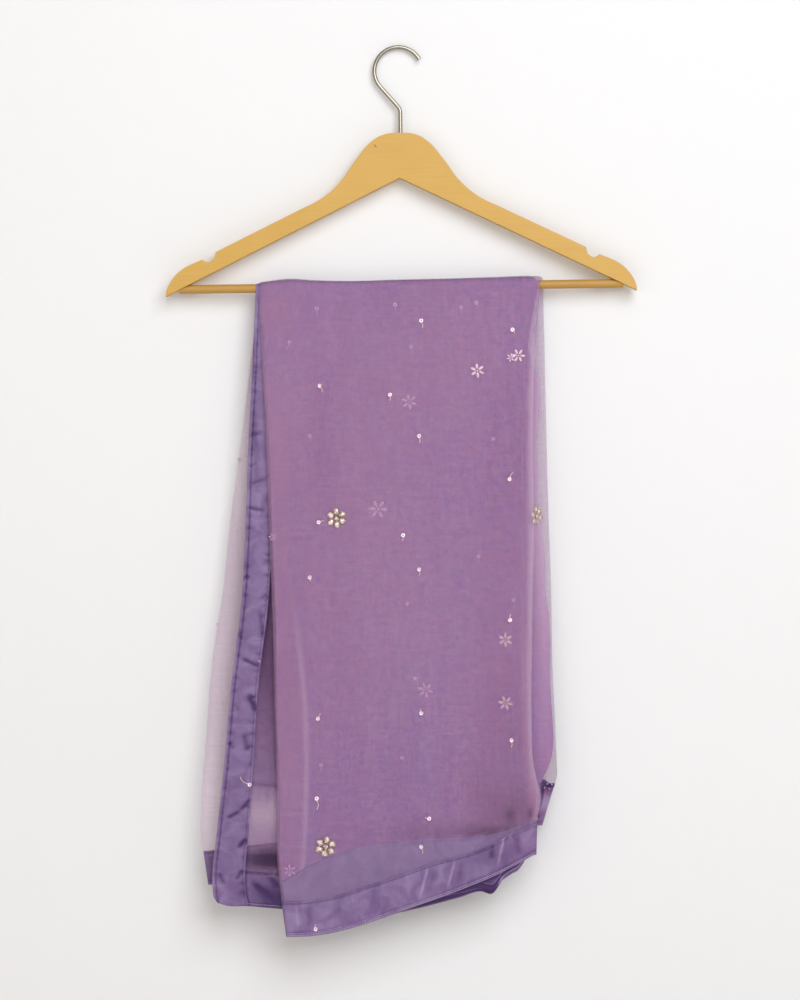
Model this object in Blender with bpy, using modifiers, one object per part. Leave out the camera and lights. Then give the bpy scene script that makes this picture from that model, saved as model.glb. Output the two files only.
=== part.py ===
"""A sheer dupatta stole with satin borders, folded in eight along its length and hung over the bar of a
wooden clothes hanger. Metres, +Z up. The origin is the inside of the hook's crown, where a rail carries it,
and the front faces -Y. Tables hold millimetres, and everything is made metres where a mesh gets its points.
"""

import math
from typing import NamedTuple

import bmesh
import bpy
import numpy as np

MM = 0.001

# Hanger
HANGER_TILT = math.radians(0.8)  # it hangs right tip up, pulled by the cloth's longer left side
WOOD_THICKNESS = 13.0
WOOD_EDGE_ROUND = 1.6
BAR_RADIUS = 4.2
BAR_DROP = 224.7  # the bar's axis below the hook's crown
BAR_HALF_LENGTH = 210.0
SOCKET_CLEARANCE = 0.3
WIRE_RADIUS = 1.75
CROOK_RADIUS = 22.7
CROOK_START = math.radians(28.0)  # the free end, above the right-hand horizontal
CROOK_END = math.radians(221.0)
NECK_BEND_RADIUS = 8.0
STEM_END_DROP = 102.0
STEM_SOCKET_DROP = 102.4
STEM_SOCKET_TOP = 70.0  # above the wood, so that the socket is open there
CROOK_STEPS = 26
NECK_BEND_STEPS = 5

# Cloth
SHEER_WALL = 1.0
SATIN_WALL = 1.5
SEAM_SETBACK = 0.4  # down the cloth from a sheer edge to its satin border, so that 0.3 is clear
LAYER_GAP = 0.35  # at the bar, where the layers are pressed
LOOSE_GAP = 0.6  # further down, where they hang free
LOOSE_DROP = 160.0
BUNDLE_AT_BAR = 1.8  # the hidden layers together, pressed over the bar
FRONT_BUNDLE = 4.4
BACK_BUNDLE = 3.4
FRONT_BOW = 2.6  # how far the fall stands forward of plumb at its middle
BACK_BOW = 1.6
BOW_LENGTH = 640.0
END_LAYER_RIGHT = -78.0  # the end layer's cut edge, hidden behind the front fall
BORDER_HEIGHT = 33.0
LAYER_GROOVE = 0.7
EDGE_CLEARANCE = 0.7  # between the hidden layers' edges and the outer layer's side folds

SETTLING_STEPS = 6
STRIP_COLUMNS = 3
PANEL_COLUMNS = 5
EDGE_POINTS = 7  # down each side of the hidden layers, with every other one in a groove
CURL_COLUMNS = 3
FLAT_COLUMNS = 12
CROWN_ROWS = 8
HEM_ROWS = 2
# Down the hidden layers' hems: the share of the way down, and the share of their depth that has ended
HEM_STEPS = ((0.0, 0.0), (0.45, 0.0), (0.84, 0.0), (0.87, 0.33), (0.92, 0.33), (0.95, 0.66), (1.0, 0.66))
OUTER_COLUMNS = 2 * CURL_COLUMNS + FLAT_COLUMNS
FOLD_TURN = math.radians(105.0)  # how far the outer layer turns back round the hidden layers


class Corner(NamedTuple):
    """A point of the hanger's right-hand outline: how far from the middle, and how far below the crown."""

    reach: float
    drop: float
    smooth: bool


class Side(NamedTuple):
    """The left and right edges of a hanging layer at one drop below the crown."""

    drop: float
    left: float
    right: float


class EndEdge(NamedTuple):
    """The end layer's outer edge at one drop below the crown, and how wide its upright border is there."""

    drop: float
    left: float
    border_width: float


class Hem(NamedTuple):
    """The drop below the crown of a line that runs across a layer, at one place across it."""

    across: float
    drop: float


class Swell(NamedTuple):
    """A soft upright fold: its place across, how far it stands out, its half width, and where it runs."""

    across: float
    height: float
    half_width: float
    middle: float
    reach: float


HANGER_OUTLINE = (
    Corner(0.0, 79.8, True),
    Corner(15.5, 81.6, True),
    Corner(27.0, 88.2, True),
    Corner(41.6, 105.2, True),
    Corner(56.5, 125.6, True),
    Corner(73.9, 140.6, True),
    Corner(96.0, 151.8, False),
    Corner(174.9, 190.1, False),
    Corner(176.6, 196.6, False),
    Corner(182.0, 199.8, True),
    Corner(187.8, 197.1, False),
    Corner(206.1, 205.6, True),
    Corner(215.2, 213.9, True),
    Corner(221.8, 225.5, True),
    Corner(222.8, 231.6, False),
)
HANGER_CROTCH_DROP = 122.3

FRONT_SIDES = (
    Side(225.0, -131.6, 134.5),
    Side(273.0, -130.0, 130.4),
    Side(360.0, -125.4, 128.0),
    Side(450.0, -122.0, 128.8),
    Side(540.0, -118.4, 127.0),
    Side(635.0, -116.2, 126.4),
    Side(675.0, -115.0, 128.0),
    Side(690.0, -115.0, 131.0),
    Side(706.0, -114.8, 134.4),
    Side(728.0, -114.8, 132.4),
    Side(765.0, -114.2, 130.6),
    Side(800.0, -110.8, 129.4),
    Side(839.0, -105.6, 128.0),
)
BACK_SIDES = (
    Side(225.0, -131.0, 137.0),
    Side(311.0, -140.7, 138.7),
    Side(388.0, -149.6, 140.3),
    Side(441.0, -157.2, 141.8),
    Side(512.0, -164.8, 144.2),
    Side(580.0, -175.2, 145.4),
    Side(652.0, -180.9, 148.6),
    Side(688.0, -184.0, 150.0),
    Side(710.0, -185.2, 147.2),
    Side(729.0, -185.5, 140.6),
    Side(737.0, -185.6, 137.0),
    Side(793.0, -179.0, 134.0),
)
END_EDGES = (
    EndEdge(225.0, -134.5, 25.0),
    EndEdge(302.0, -137.6, 25.2),
    EndEdge(376.0, -141.4, 25.3),
    EndEdge(463.0, -144.4, 25.5),
    EndEdge(519.0, -147.6, 25.6),
    EndEdge(604.0, -157.8, 25.8),
    EndEdge(688.0, -165.4, 28.2),
    EndEdge(737.0, -170.8, 29.9),
    EndEdge(800.0, -174.6, 31.3),
    EndEdge(816.0, -171.4, 31.5),
)
BUNDLE_BACK_SIDES = (
    Side(225.0, -129.0, 125.0),
    Side(290.0, -132.4, 127.0),
    Side(317.0, -133.8, 134.0),
    Side(355.0, -136.0, 132.4),
    Side(379.0, -137.6, 131.2),
    Side(430.0, -141.0, 133.2),
    Side(484.0, -144.4, 138.6),
    Side(532.0, -146.6, 141.8),
    Side(597.0, -149.8, 143.4),
    Side(645.0, -151.6, 146.4),
    Side(672.0, -151.8, 144.6),
    Side(690.0, -151.4, 138.0),
    Side(735.0, -151.0, 134.0),
)

FRONT_HEM = (
    Hem(-106.0, 839.0),
    Hem(-90.0, 838.6),
    Hem(21.0, 808.7),
    Hem(63.0, 793.6),
    Hem(97.0, 779.4),
    Hem(117.0, 769.0),
    Hem(131.0, 761.4),
)
FRONT_BORDER_TOP = (
    Hem(-112.0, 806.0),
    Hem(-80.5, 804.0),
    Hem(-10.4, 786.0),
    Hem(29.3, 772.8),
    Hem(92.8, 753.8),
    Hem(103.0, 744.6),
    Hem(133.0, 731.6),
)
BUNDLE_BORDER_TOP = (
    Hem(-112.0, 788.0),
    Hem(-85.2, 772.8),
    Hem(-52.0, 760.4),
    Hem(20.8, 750.5),
    Hem(96.6, 743.4),
    Hem(132.0, 729.0),
)
BUNDLE_HEM = (
    Hem(-110.0, 830.0),
    Hem(-60.0, 824.0),
    Hem(2.0, 816.3),
    Hem(60.0, 802.0),
    Hem(80.0, 796.5),
    Hem(91.0, 798.4),
    Hem(101.0, 786.0),
    Hem(117.0, 779.4),
    Hem(125.0, 771.8),
)
BACK_BORDER_TOP = (Hem(-184.0, 760.4), Hem(-40.0, 742.0), Hem(148.0, 703.0))
BACK_HEM = (Hem(-179.0, 792.6), Hem(-40.0, 773.0), Hem(143.0, 735.8))
BUNDLE_BACK_BORDER_TOP = (Hem(-152.0, 659.0), Hem(0.0, 682.0), Hem(146.0, 697.0))
BUNDLE_BACK_HEM = (Hem(-152.0, 697.0), Hem(0.0, 718.0), Hem(140.0, 731.0))
END_HEM = (Hem(-172.0, 807.8), Hem(-140.0, 811.0), Hem(-78.0, 816.0))

FRONT_SWELLS = (
    Swell(-92.0, 1.6, 14.0, 730.0, 110.0),
    Swell(-20.0, 0.9, 36.0, 520.0, 260.0),
    Swell(52.0, 0.8, 30.0, 640.0, 210.0),
    Swell(104.0, 1.4, 22.0, 470.0, 260.0),
)
BACK_SWELLS = (
    Swell(-150.0, 3.0, 24.0, 700.0, 260.0),
    Swell(-96.0, 1.8, 22.0, 560.0, 280.0),
    Swell(-10.0, 2.2, 30.0, 650.0, 230.0),
    Swell(62.0, 1.5, 24.0, 470.0, 240.0),
    Swell(132.0, 2.4, 22.0, 600.0, 260.0),
)
END_SWELLS = (Swell(-152.0, 2.2, 18.0, 700.0, 220.0), Swell(-112.0, 1.2, 16.0, 600.0, 240.0))


def clear_scene():
    """Removes every object that the scene starts with."""
    for obj in list(bpy.data.objects):
        bpy.data.objects.remove(obj, do_unlink=True)


def new_collection(name, hidden=False):
    """A new collection in the scene, left out of renders where it holds only cutters."""
    collection = bpy.data.collections.new(name)
    bpy.context.scene.collection.children.link(collection)
    collection.hide_render = hidden
    return collection


def new_material(name, colour, roughness, metallic=0.0):
    """A plain material of one linear colour."""
    material = bpy.data.materials.new(name)
    material.use_nodes = True
    shader = material.node_tree.nodes["Principled BSDF"]
    shader.inputs["Base Color"].default_value = (*colour, 1.0)
    shader.inputs["Roughness"].default_value = roughness
    shader.inputs["Metallic"].default_value = metallic
    return material


def place(name, data, collection, parent=None):
    """A new object in a collection, under a parent where it has one."""
    obj = bpy.data.objects.new(name, data)
    collection.objects.link(obj)
    obj.parent = parent
    return obj


def finish_mesh(bm, name):
    """A mesh from a bmesh, with its faces turned outwards."""
    bmesh.ops.recalc_face_normals(bm, faces=bm.faces)
    mesh = bpy.data.meshes.new(name)
    bm.to_mesh(mesh)
    bm.free()
    return mesh


def read_rows(rows, column, at):
    """The named column, read from a table at one place by a smooth curve through its rows."""
    keys = [row[0] for row in rows]
    values = [getattr(row, column) for row in rows]
    if at <= keys[0] or at >= keys[-1]:
        return values[0] if at <= keys[0] else values[-1]
    slopes = np.gradient(values, keys)
    i = int(np.searchsorted(keys, at, side="right")) - 1
    span = keys[i + 1] - keys[i]
    s = (at - keys[i]) / span
    rise = s * s * (3.0 - 2.0 * s)
    lead_in = span * slopes[i] * s * (1.0 - s) ** 2
    lead_out = span * slopes[i + 1] * s * s * (s - 1.0)
    return values[i] + (values[i + 1] - values[i]) * rise + lead_in + lead_out


def ease(share):
    """A share eased in and out, and held between 0 and 1."""
    share = min(max(share, 0.0), 1.0)
    return share * share * (3.0 - 2.0 * share)


def bar_axis_drop(across):
    """How far below the crown the tilted bar's axis lies at one place across."""
    return BAR_DROP * math.cos(HANGER_TILT) - across * math.tan(HANGER_TILT)


def swelling(swells, across, drop):
    """How far the soft upright folds push a layer out at one place."""
    total = 0.0
    for swell in swells:
        sideways = math.exp(-(((across - swell.across) / swell.half_width) ** 2))
        total += swell.height * sideways * math.exp(-(((drop - swell.middle) / swell.reach) ** 2))
    return total


class Fall:
    """One side of the hung cloth: how far from the bar's axis each layer lies at a drop below that axis."""

    def __init__(self, bow, bundle):
        self.bow = bow
        self.bundle = bundle

    def loosened(self, below):
        """How free of the bar the layers hang: 0 at the bar and 1 from LOOSE_DROP down."""
        return ease(below / LOOSE_DROP)

    def gap(self, below):
        """The gap between two layers."""
        return LAYER_GAP + (LOOSE_GAP - LAYER_GAP) * self.loosened(below)

    def end_layer(self, below):
        """The middle of the end layer's wall."""
        bowed = self.bow * math.sin(math.pi * min(max(below, 0.0) / BOW_LENGTH, 1.0))
        return BAR_RADIUS + LAYER_GAP + SHEER_WALL / 2 + bowed

    def bundle_inside(self, below):
        """The inside of the hidden layers."""
        return self.end_layer(below) + SHEER_WALL / 2 + self.gap(below)

    def bundle_thickness(self, below):
        """The thickness of the hidden layers together."""
        return BUNDLE_AT_BAR + (self.bundle - BUNDLE_AT_BAR) * self.loosened(below)

    def outer_layer(self, below):
        """The middle of the outer layer's wall."""
        outside = self.bundle_inside(below) + self.bundle_thickness(below)
        return outside + self.gap(below) + SHEER_WALL / 2


FRONT = Fall(FRONT_BOW, FRONT_BUNDLE)
BACK = Fall(BACK_BOW, BACK_BUNDLE)


class Row(NamedTuple):
    """A line across a draped layer: on the front fall, over the bar or on the back fall."""

    turn: float  # the angle round the bar: 0 on the front fall, pi on the back fall
    share: float  # on a fall, the share of the way from the bar's axis to the hem


def draped_rows(fall_rows):
    """The rows of a layer, from its front hem up over the bar and down to its back hem."""
    front = [Row(0.0, 1.0 - i / fall_rows) for i in range(fall_rows)]
    crown = [Row(math.pi * i / CROWN_ROWS, 0.0) for i in range(CROWN_ROWS + 1)]
    back = [Row(math.pi, (i + 1) / fall_rows) for i in range(fall_rows)]
    return front + crown + back


def settle(rows, hem, across_share, share):
    """The place across and the drop of a point that lies a share of the way down and across a layer."""
    across = 0.0
    drop = BAR_DROP
    for _ in range(SETTLING_STEPS):
        left = read_rows(rows, "left", drop)
        right = read_rows(rows, "right", drop)
        across = left + (right - left) * across_share
        axis = bar_axis_drop(across)
        drop = axis + (read_rows(hem, "drop", across) - axis) * share
    return across, drop


def world(across, out, below, turn):
    """A point in metres, from its place across, its distance from the bar's axis and its drop below it."""
    axis = bar_axis_drop(across)
    forward = -out * math.cos(turn)
    up = out * math.sin(turn) - below
    return (across * MM, forward * MM, (up - axis) * MM)


def grid_sheet(name, columns, rows, point_at, wall):
    """An open grid whose points a function places, given a wall by Solidify."""
    bm = bmesh.new()
    bmesh.ops.create_grid(bm, x_segments=columns, y_segments=rows, size=0.5)
    for vert in bm.verts:
        column = round((vert.co.x + 0.5) * columns)
        row = round((vert.co.y + 0.5) * rows)
        vert.co = point_at(column, row)
    mesh = finish_mesh(bm, name)
    obj = place(name, mesh, cloth)
    solidify = obj.modifiers.new("Wall", "SOLIDIFY")
    solidify.thickness = wall * MM
    solidify.offset = 0.0
    solidify.use_even_offset = True
    mesh.shade_smooth()
    return obj


def curl(distance, bend):
    """How far in and how far back a sheet has come, a distance round a fold of that bend (1 / radius)."""
    if bend < 1e-4:
        return distance, 0.0
    return math.sin(bend * distance) / bend, (1.0 - math.cos(bend * distance)) / bend


def flat_share(column):
    """The share of the way across the flat of the outer layer; its outer columns lie in the side folds."""
    return min(max((column - CURL_COLUMNS) / FLAT_COLUMNS, 0.0), 1.0)


def outer_point(column, across, drop, turn, wall=SHEER_WALL):
    """A point of the outermost layer, folded round the hidden layers at the front and open at the back."""
    fall = BACK if turn >= math.pi else FRONT
    swells = BACK_SWELLS if turn >= math.pi else FRONT_SWELLS
    unfolding = ease(turn / math.pi)
    below = drop - bar_axis_drop(across)
    radius = fall.bundle_thickness(below) / 2 + fall.gap(below) + SHEER_WALL / 2
    bend = (1.0 - unfolding) / radius
    quarter = math.pi / 2 * radius
    fold_width = curl(min(quarter, math.pi / 2 / bend if bend else quarter), bend)[0]
    across += (SHEER_WALL / 2 + fold_width) * (1.0 - 2.0 * flat_share(column))
    from_left = column - CURL_COLUMNS
    from_right = CURL_COLUMNS + FLAT_COLUMNS - column
    folded = max(-from_left, -from_right, 0) / CURL_COLUMNS
    reach, turned_in = curl(folded * radius * FOLD_TURN, bend)
    across += reach if from_right < 0 else -reach
    out = fall.outer_layer(below) + (wall - SHEER_WALL) / 2
    out += swelling(swells, across, drop) * ease(below / LOOSE_DROP) * (1.0 - folded) - turned_in
    return world(across, out, below, turn)


def make_outer_layer(fall_rows=13):
    """The outermost layer, from its front border up over the bar and down to its back border."""
    rows = draped_rows(fall_rows)

    def point_at(column, row):
        """The point of a column and a row."""
        at = rows[row]
        share = flat_share(column)
        front_across, front_drop = settle(FRONT_SIDES, FRONT_BORDER_TOP, share, at.share)
        back_across, back_drop = settle(BACK_SIDES, BACK_BORDER_TOP, share, at.share)
        if at.turn <= 0.0:
            return outer_point(column, front_across, front_drop, 0.0)
        if at.turn >= math.pi:
            return outer_point(column, back_across, back_drop, math.pi)
        across = front_across + (back_across - front_across) * ease(at.turn / math.pi)
        return outer_point(column, across, bar_axis_drop(across), at.turn)

    return grid_sheet("outer_layer", OUTER_COLUMNS, len(rows) - 1, point_at, SHEER_WALL)


def make_outer_hem(name, sides, top, hem, turn):
    """The outer layer's satin border, in line with it and a seam's gap below its edge."""

    def point_at(column, row):
        """The point of a column and a row, row 0 at the hem."""
        share = flat_share(column)
        upper_across, upper_drop = settle(sides, top, share, 1.0)
        lower_across, lower_drop = settle(sides, hem, share, 1.0)
        up = row / HEM_ROWS
        across = lower_across + (upper_across - lower_across) * up
        drop = lower_drop + (upper_drop + SEAM_SETBACK - lower_drop) * up
        return outer_point(column, across, drop, turn, SATIN_WALL)

    return grid_sheet(name, OUTER_COLUMNS, HEM_ROWS, point_at, SATIN_WALL)


def make_end_pieces(fall_rows=14):
    """The end layer: a sheer panel, the border down the cloth's short end, and the one along its hem."""
    fall_length = END_HEM[0].drop - BAR_DROP
    border_share = BORDER_HEIGHT / fall_length
    falling = [1.0, 1.0 - border_share / 2]
    falling += [(1.0 - border_share) * (1.0 - i / fall_rows) for i in range(fall_rows)]
    crown = [math.pi * i / CROWN_ROWS for i in range(CROWN_ROWS // 2 + 1)]
    rows = [Row(0.0, share) for share in falling] + [Row(turn, 0.0) for turn in crown]
    seam_share = (SEAM_SETBACK) / fall_length

    def place_point(at, across_at):
        """A point of the row whose place across depends on its drop."""
        drop = BAR_DROP
        for _ in range(SETTLING_STEPS):
            across = across_at(drop)
            axis = bar_axis_drop(across)
            drop = axis + (read_rows(END_HEM, "drop", across) - axis) * at.share
        below = drop - axis
        hollow = swelling(END_SWELLS, across, drop) * ease(below / LOOSE_DROP)
        return world(across, FRONT.end_layer(below) - hollow, below, at.turn)

    def strip_point(column, row):
        """A point of the upright border."""

        def across_at(drop):
            """The point's place across at a drop."""
            width = read_rows(END_EDGES, "border_width", drop)
            return read_rows(END_EDGES, "left", drop) + width * column / STRIP_COLUMNS

        return place_point(rows[row], across_at)

    def inner_point(at, share):
        """A point a share of the way from the upright border to the layer's cut edge."""

        def across_at(drop):
            """The point's place across at a drop."""
            border_edge = read_rows(END_EDGES, "left", drop) + read_rows(END_EDGES, "border_width", drop)
            start = border_edge + SEAM_SETBACK
            return start + (END_LAYER_RIGHT - start) * share

        return place_point(at, across_at)

    def panel_point(column, row):
        """A point of the sheer panel."""
        return inner_point(rows[row + HEM_ROWS], column / PANEL_COLUMNS)

    def hem_point(column, row):
        """A point of the border along the hem, whose top row lies a seam below the panel."""
        seam = seam_share if row == HEM_ROWS else 0.0
        return inner_point(Row(0.0, rows[row].share + seam), column / PANEL_COLUMNS)

    last = len(rows) - 1
    strip = grid_sheet("end_border", STRIP_COLUMNS, last, strip_point, SHEER_WALL)
    panel = grid_sheet("end_layer", PANEL_COLUMNS, last - HEM_ROWS, panel_point, SHEER_WALL)
    hem = grid_sheet("end_layer_hem", PANEL_COLUMNS, HEM_ROWS, hem_point, SHEER_WALL)
    return strip, panel, hem


def layered_ring(left, right, point_at):
    """A section through the hidden layers: flat faces, and three rounded layers with grooves at each side."""
    flats = [left + (right - left) * (i + 1) / (FLAT_COLUMNS // 2 + 1) for i in range(FLAT_COLUMNS // 2)]
    insets = [LAYER_GROOVE * (1.0 - i % 2) for i in range(EDGE_POINTS)]
    depths = [i / (EDGE_POINTS - 1) for i in range(EDGE_POINTS)]
    ring = [point_at(left + inset, depth) for inset, depth in zip(insets, depths)]
    ring += [point_at(across, 1.0) for across in flats]
    ring += [point_at(right - inset, depth) for inset, depth in zip(reversed(insets), reversed(depths))]
    ring += [point_at(across, 0.0) for across in reversed(flats)]
    return ring


def loft(name, rings):
    """A closed solid through rings of the same count, each end closed by a fan to its middle."""
    bm = bmesh.new()
    loops = [[bm.verts.new(point) for point in ring] for ring in rings]
    count = len(rings[0])
    for lower, upper in zip(loops, loops[1:]):
        for i in range(count):
            j = (i + 1) % count
            bm.faces.new((lower[i], lower[j], upper[j], upper[i]))
    side = EDGE_POINTS
    flats = (count - 2 * side) // 2
    for loop in (loops[0], loops[-1]):
        inner = loop[:side]
        outer = loop[side + flats : 2 * side + flats][::-1]
        across_out = loop[side : side + flats]
        across_in = loop[2 * side + flats :][::-1]
        edge_out = [inner[-1], *across_out, outer[-1]]
        edge_in = [inner[0], *across_in, outer[0]]
        bm.faces.new([*inner, across_out[0], across_in[0]])
        bm.faces.new([*outer, across_out[-1], across_in[-1]])
        for i in range(1, flats):
            bm.faces.new((edge_out[i], edge_out[i + 1], edge_in[i + 1], edge_in[i]))
    mesh = finish_mesh(bm, name)
    mesh.shade_smooth()
    return place(name, mesh, cloth)


def bundle_inset(fall, drop, across):
    """How far in from the outer layer's edges the hidden layers' edges lie."""
    below = drop - bar_axis_drop(across)
    return SHEER_WALL + fall.gap(below) + EDGE_CLEARANCE


def bundle_point(fall, turn, share_to_drop):
    """Places a point of the hidden layers from its place across and its depth share from the inside out."""

    def point_at(across, depth):
        """The point at one place across and one depth."""
        drop = share_to_drop(across)
        below = drop - bar_axis_drop(across)
        out = fall.bundle_inside(below) + fall.bundle_thickness(below) * depth
        return world(across, out, below, turn)

    return point_at


def bundle_sides(at, front_hem, back_hem):
    """The left and right of the hidden layers on a row, inside the outer layer's fold at the front."""
    left, left_drop = settle(FRONT_SIDES, front_hem, 0.0, at.share)
    right, right_drop = settle(FRONT_SIDES, front_hem, 1.0, at.share)
    front = (left + bundle_inset(FRONT, left_drop, left), right - bundle_inset(FRONT, right_drop, right))
    back = tuple(settle(BUNDLE_BACK_SIDES, back_hem, side, at.share)[0] for side in (0.0, 1.0))
    back_share = ease(at.turn / math.pi)
    return tuple(f + (b - f) * back_share for f, b in zip(front, back))


def make_bundle(fall_rows=12):
    """The hidden layers, one rounded solid over the bar, with their edges layered."""
    rings = []
    for at in draped_rows(fall_rows):
        on_back = at.turn >= math.pi
        fall = BACK if on_back else FRONT
        hem = BUNDLE_BACK_BORDER_TOP if on_back else BUNDLE_BORDER_TOP

        def share_to_drop(across, at=at, hem=hem):
            """The row's drop at one place across."""
            axis = bar_axis_drop(across)
            return axis + (read_rows(hem, "drop", across) - axis) * at.share

        left, right = bundle_sides(at, BUNDLE_BORDER_TOP, BUNDLE_BACK_BORDER_TOP)
        rings.append(layered_ring(left, right, bundle_point(fall, at.turn, share_to_drop)))
    return loft("inner_layers", rings)


def make_bundle_hem(name, fall, turn, top, hem, sides_at):
    """The satin hems of the hidden layers, stepped so that each further layer shows below the last."""
    rings = []
    for share, shorn in HEM_STEPS:

        def share_to_drop(across, share=share):
            """The row's drop at one place across."""
            upper = read_rows(top, "drop", across) + SEAM_SETBACK
            return upper + (read_rows(hem, "drop", across) - upper) * share

        left, right = sides_at(share)
        place_point = bundle_point(fall, turn, share_to_drop)

        def shorn_point(across, depth, place_point=place_point, shorn=shorn):
            """The point at one place across and a share of the depth that is left."""
            return place_point(across, depth * (1.0 - shorn))

        rings.append(layered_ring(left, right, shorn_point))
    return loft(name, rings)


def front_bundle_sides(share):
    """The left and right of the front hidden hems, a share of the way down them."""
    edges = []
    for side in (0.0, 1.0):
        _, upper = settle(FRONT_SIDES, BUNDLE_BORDER_TOP, side, 1.0)
        _, lower = settle(FRONT_SIDES, BUNDLE_HEM, side, 1.0)
        drop = upper + (lower - upper) * share
        column = "right" if side else "left"
        inset = bundle_inset(FRONT, drop, 0.0)
        edges.append(read_rows(FRONT_SIDES, column, drop) + (-inset if side else inset))
    return edges


def back_bundle_sides(share):
    """The left and right of the back hidden hems, a share of the way down them."""
    edges = []
    for side in (0.0, 1.0):
        _, upper = settle(BUNDLE_BACK_SIDES, BUNDLE_BACK_BORDER_TOP, side, 1.0)
        _, lower = settle(BUNDLE_BACK_SIDES, BUNDLE_BACK_HEM, side, 1.0)
        column = "right" if side else "left"
        edges.append(read_rows(BUNDLE_BACK_SIDES, column, upper + (lower - upper) * share))
    return edges


def hanger_outline_curve(name):
    """The hanger's outline as a flat closed curve, the right half mirrored to the left."""
    right = list(HANGER_OUTLINE)
    left = [corner._replace(reach=-corner.reach) for corner in reversed(right[1:])]
    crotch = Corner(0.0, HANGER_CROTCH_DROP, False)
    corners = [*right, crotch, *left]
    data = bpy.data.curves.new(name, "CURVE")
    data.dimensions = "2D"
    data.fill_mode = "BOTH"
    data.extrude = WOOD_THICKNESS / 2 * MM
    data.resolution_u = 3
    spline = data.splines.new("BEZIER")
    spline.bezier_points.add(len(corners) - 1)
    for point, corner in zip(spline.bezier_points, corners):
        point.co = (corner.reach * MM, -corner.drop * MM, 0.0)
        handle = "AUTO" if corner.smooth else "VECTOR"
        point.handle_left_type = handle
        point.handle_right_type = handle
    spline.use_cyclic_u = True
    return data


def curve_to_mesh(obj, name):
    """A curve object's mesh with its loose caps welded, in place of the curve."""
    bpy.context.view_layer.update()
    graph = bpy.context.evaluated_depsgraph_get()
    mesh = bpy.data.meshes.new_from_object(obj.evaluated_get(graph))
    bm = bmesh.new()
    bm.from_mesh(mesh)
    bmesh.ops.remove_doubles(bm, verts=bm.verts, dist=1e-6)
    bmesh.ops.dissolve_degenerate(bm, edges=bm.edges, dist=1e-6)
    bmesh.ops.recalc_face_normals(bm, faces=bm.faces)
    bm.to_mesh(mesh)
    bm.free()
    mesh.name = name
    curve = obj.data
    bpy.data.objects.remove(obj, do_unlink=True)
    bpy.data.curves.remove(curve)
    return mesh


def cylinder_mesh(name, radius, start, end, sides=24):
    """A closed cylinder between two points, in millimetres."""
    bm = bmesh.new()
    start = np.array(start, float)
    end = np.array(end, float)
    length = float(np.linalg.norm(end - start))
    bmesh.ops.create_cone(
        bm, cap_ends=True, segments=sides, radius1=radius * MM, radius2=radius * MM, depth=length * MM
    )
    along_x = abs(end[0] - start[0]) > 1e-6
    middle = (start + end) / 2
    for vert in bm.verts:
        x, y, z = vert.co
        turned = (z, y, -x) if along_x else (x, y, z)
        vert.co = [part + offset * MM for part, offset in zip(turned, middle)]
    return finish_mesh(bm, name)


def cut(obj, cutter):
    """Cuts one object from another."""
    boolean = obj.modifiers.new(f"Cut {cutter.name}", "BOOLEAN")
    boolean.operation = "DIFFERENCE"
    boolean.object = cutter


def make_hanger_body(frame):
    """The wooden body, with the bar's two sockets and the stem's."""
    outline = place("hanger_outline", hanger_outline_curve("hanger_outline"), hanger)
    mesh = curve_to_mesh(outline, "hanger_body")
    body = place("hanger_body", mesh, hanger, frame)
    body.rotation_euler = (math.radians(90.0), 0.0, 0.0)
    rounding = body.modifiers.new("Rounded edges", "BEVEL")
    rounding.width = WOOD_EDGE_ROUND * MM
    rounding.segments = 2
    rounding.limit_method = "ANGLE"
    rounding.angle_limit = math.radians(60.0)
    bar_socket = place(
        "bar_socket",
        cylinder_mesh(
            "bar_socket",
            BAR_RADIUS + SOCKET_CLEARANCE,
            (-BAR_HALF_LENGTH - SOCKET_CLEARANCE, 0.0, -BAR_DROP),
            (BAR_HALF_LENGTH + SOCKET_CLEARANCE, 0.0, -BAR_DROP),
        ),
        cutters,
        frame,
    )
    stem_socket = place(
        "stem_socket",
        cylinder_mesh(
            "stem_socket",
            WIRE_RADIUS + SOCKET_CLEARANCE,
            (0.0, 0.0, -STEM_SOCKET_DROP),
            (0.0, 0.0, -STEM_SOCKET_TOP),
        ),
        cutters,
        frame,
    )
    for cutter in (bar_socket, stem_socket):
        cutter.hide_render = True
        cutter.display_type = "WIRE"
        cut(body, cutter)
    return body


def make_hanger_bar(frame):
    """The dowel bar between the two arms."""
    ends = [(side * BAR_HALF_LENGTH, 0.0, -BAR_DROP) for side in (-1.0, 1.0)]
    return place("hanger_bar", cylinder_mesh("hanger_bar", BAR_RADIUS, *ends), hanger, frame)


def arc(centre, radius, start, end, steps):
    """The points of an arc, from one angle to another."""
    angles = np.linspace(start, end, steps + 1)
    return [(centre[0] + radius * math.cos(a), centre[1] + radius * math.sin(a)) for a in angles]


def wire_route():
    """The hook's wire, from its free end round the crook, down to the neck and into the wood."""
    crook_centre = (0.0, WIRE_RADIUS - CROOK_RADIUS)
    crook = arc(crook_centre, CROOK_RADIUS, CROOK_START, CROOK_END, CROOK_STEPS)
    leave_x, leave_z = crook[-1]
    slope = (-math.sin(CROOK_END), math.cos(CROOK_END))
    to_axis = -leave_x / slope[0]
    neck_z = leave_z + slope[1] * to_axis
    turn = math.pi / 2 - math.atan2(-slope[1], slope[0])
    tangent = NECK_BEND_RADIUS * math.tan(turn / 2)
    bend_centre = (-NECK_BEND_RADIUS, neck_z - tangent)
    bend = arc(bend_centre, NECK_BEND_RADIUS, turn, 0.0, NECK_BEND_STEPS)
    return [*crook, *bend, (0.0, -STEM_END_DROP)]


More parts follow.
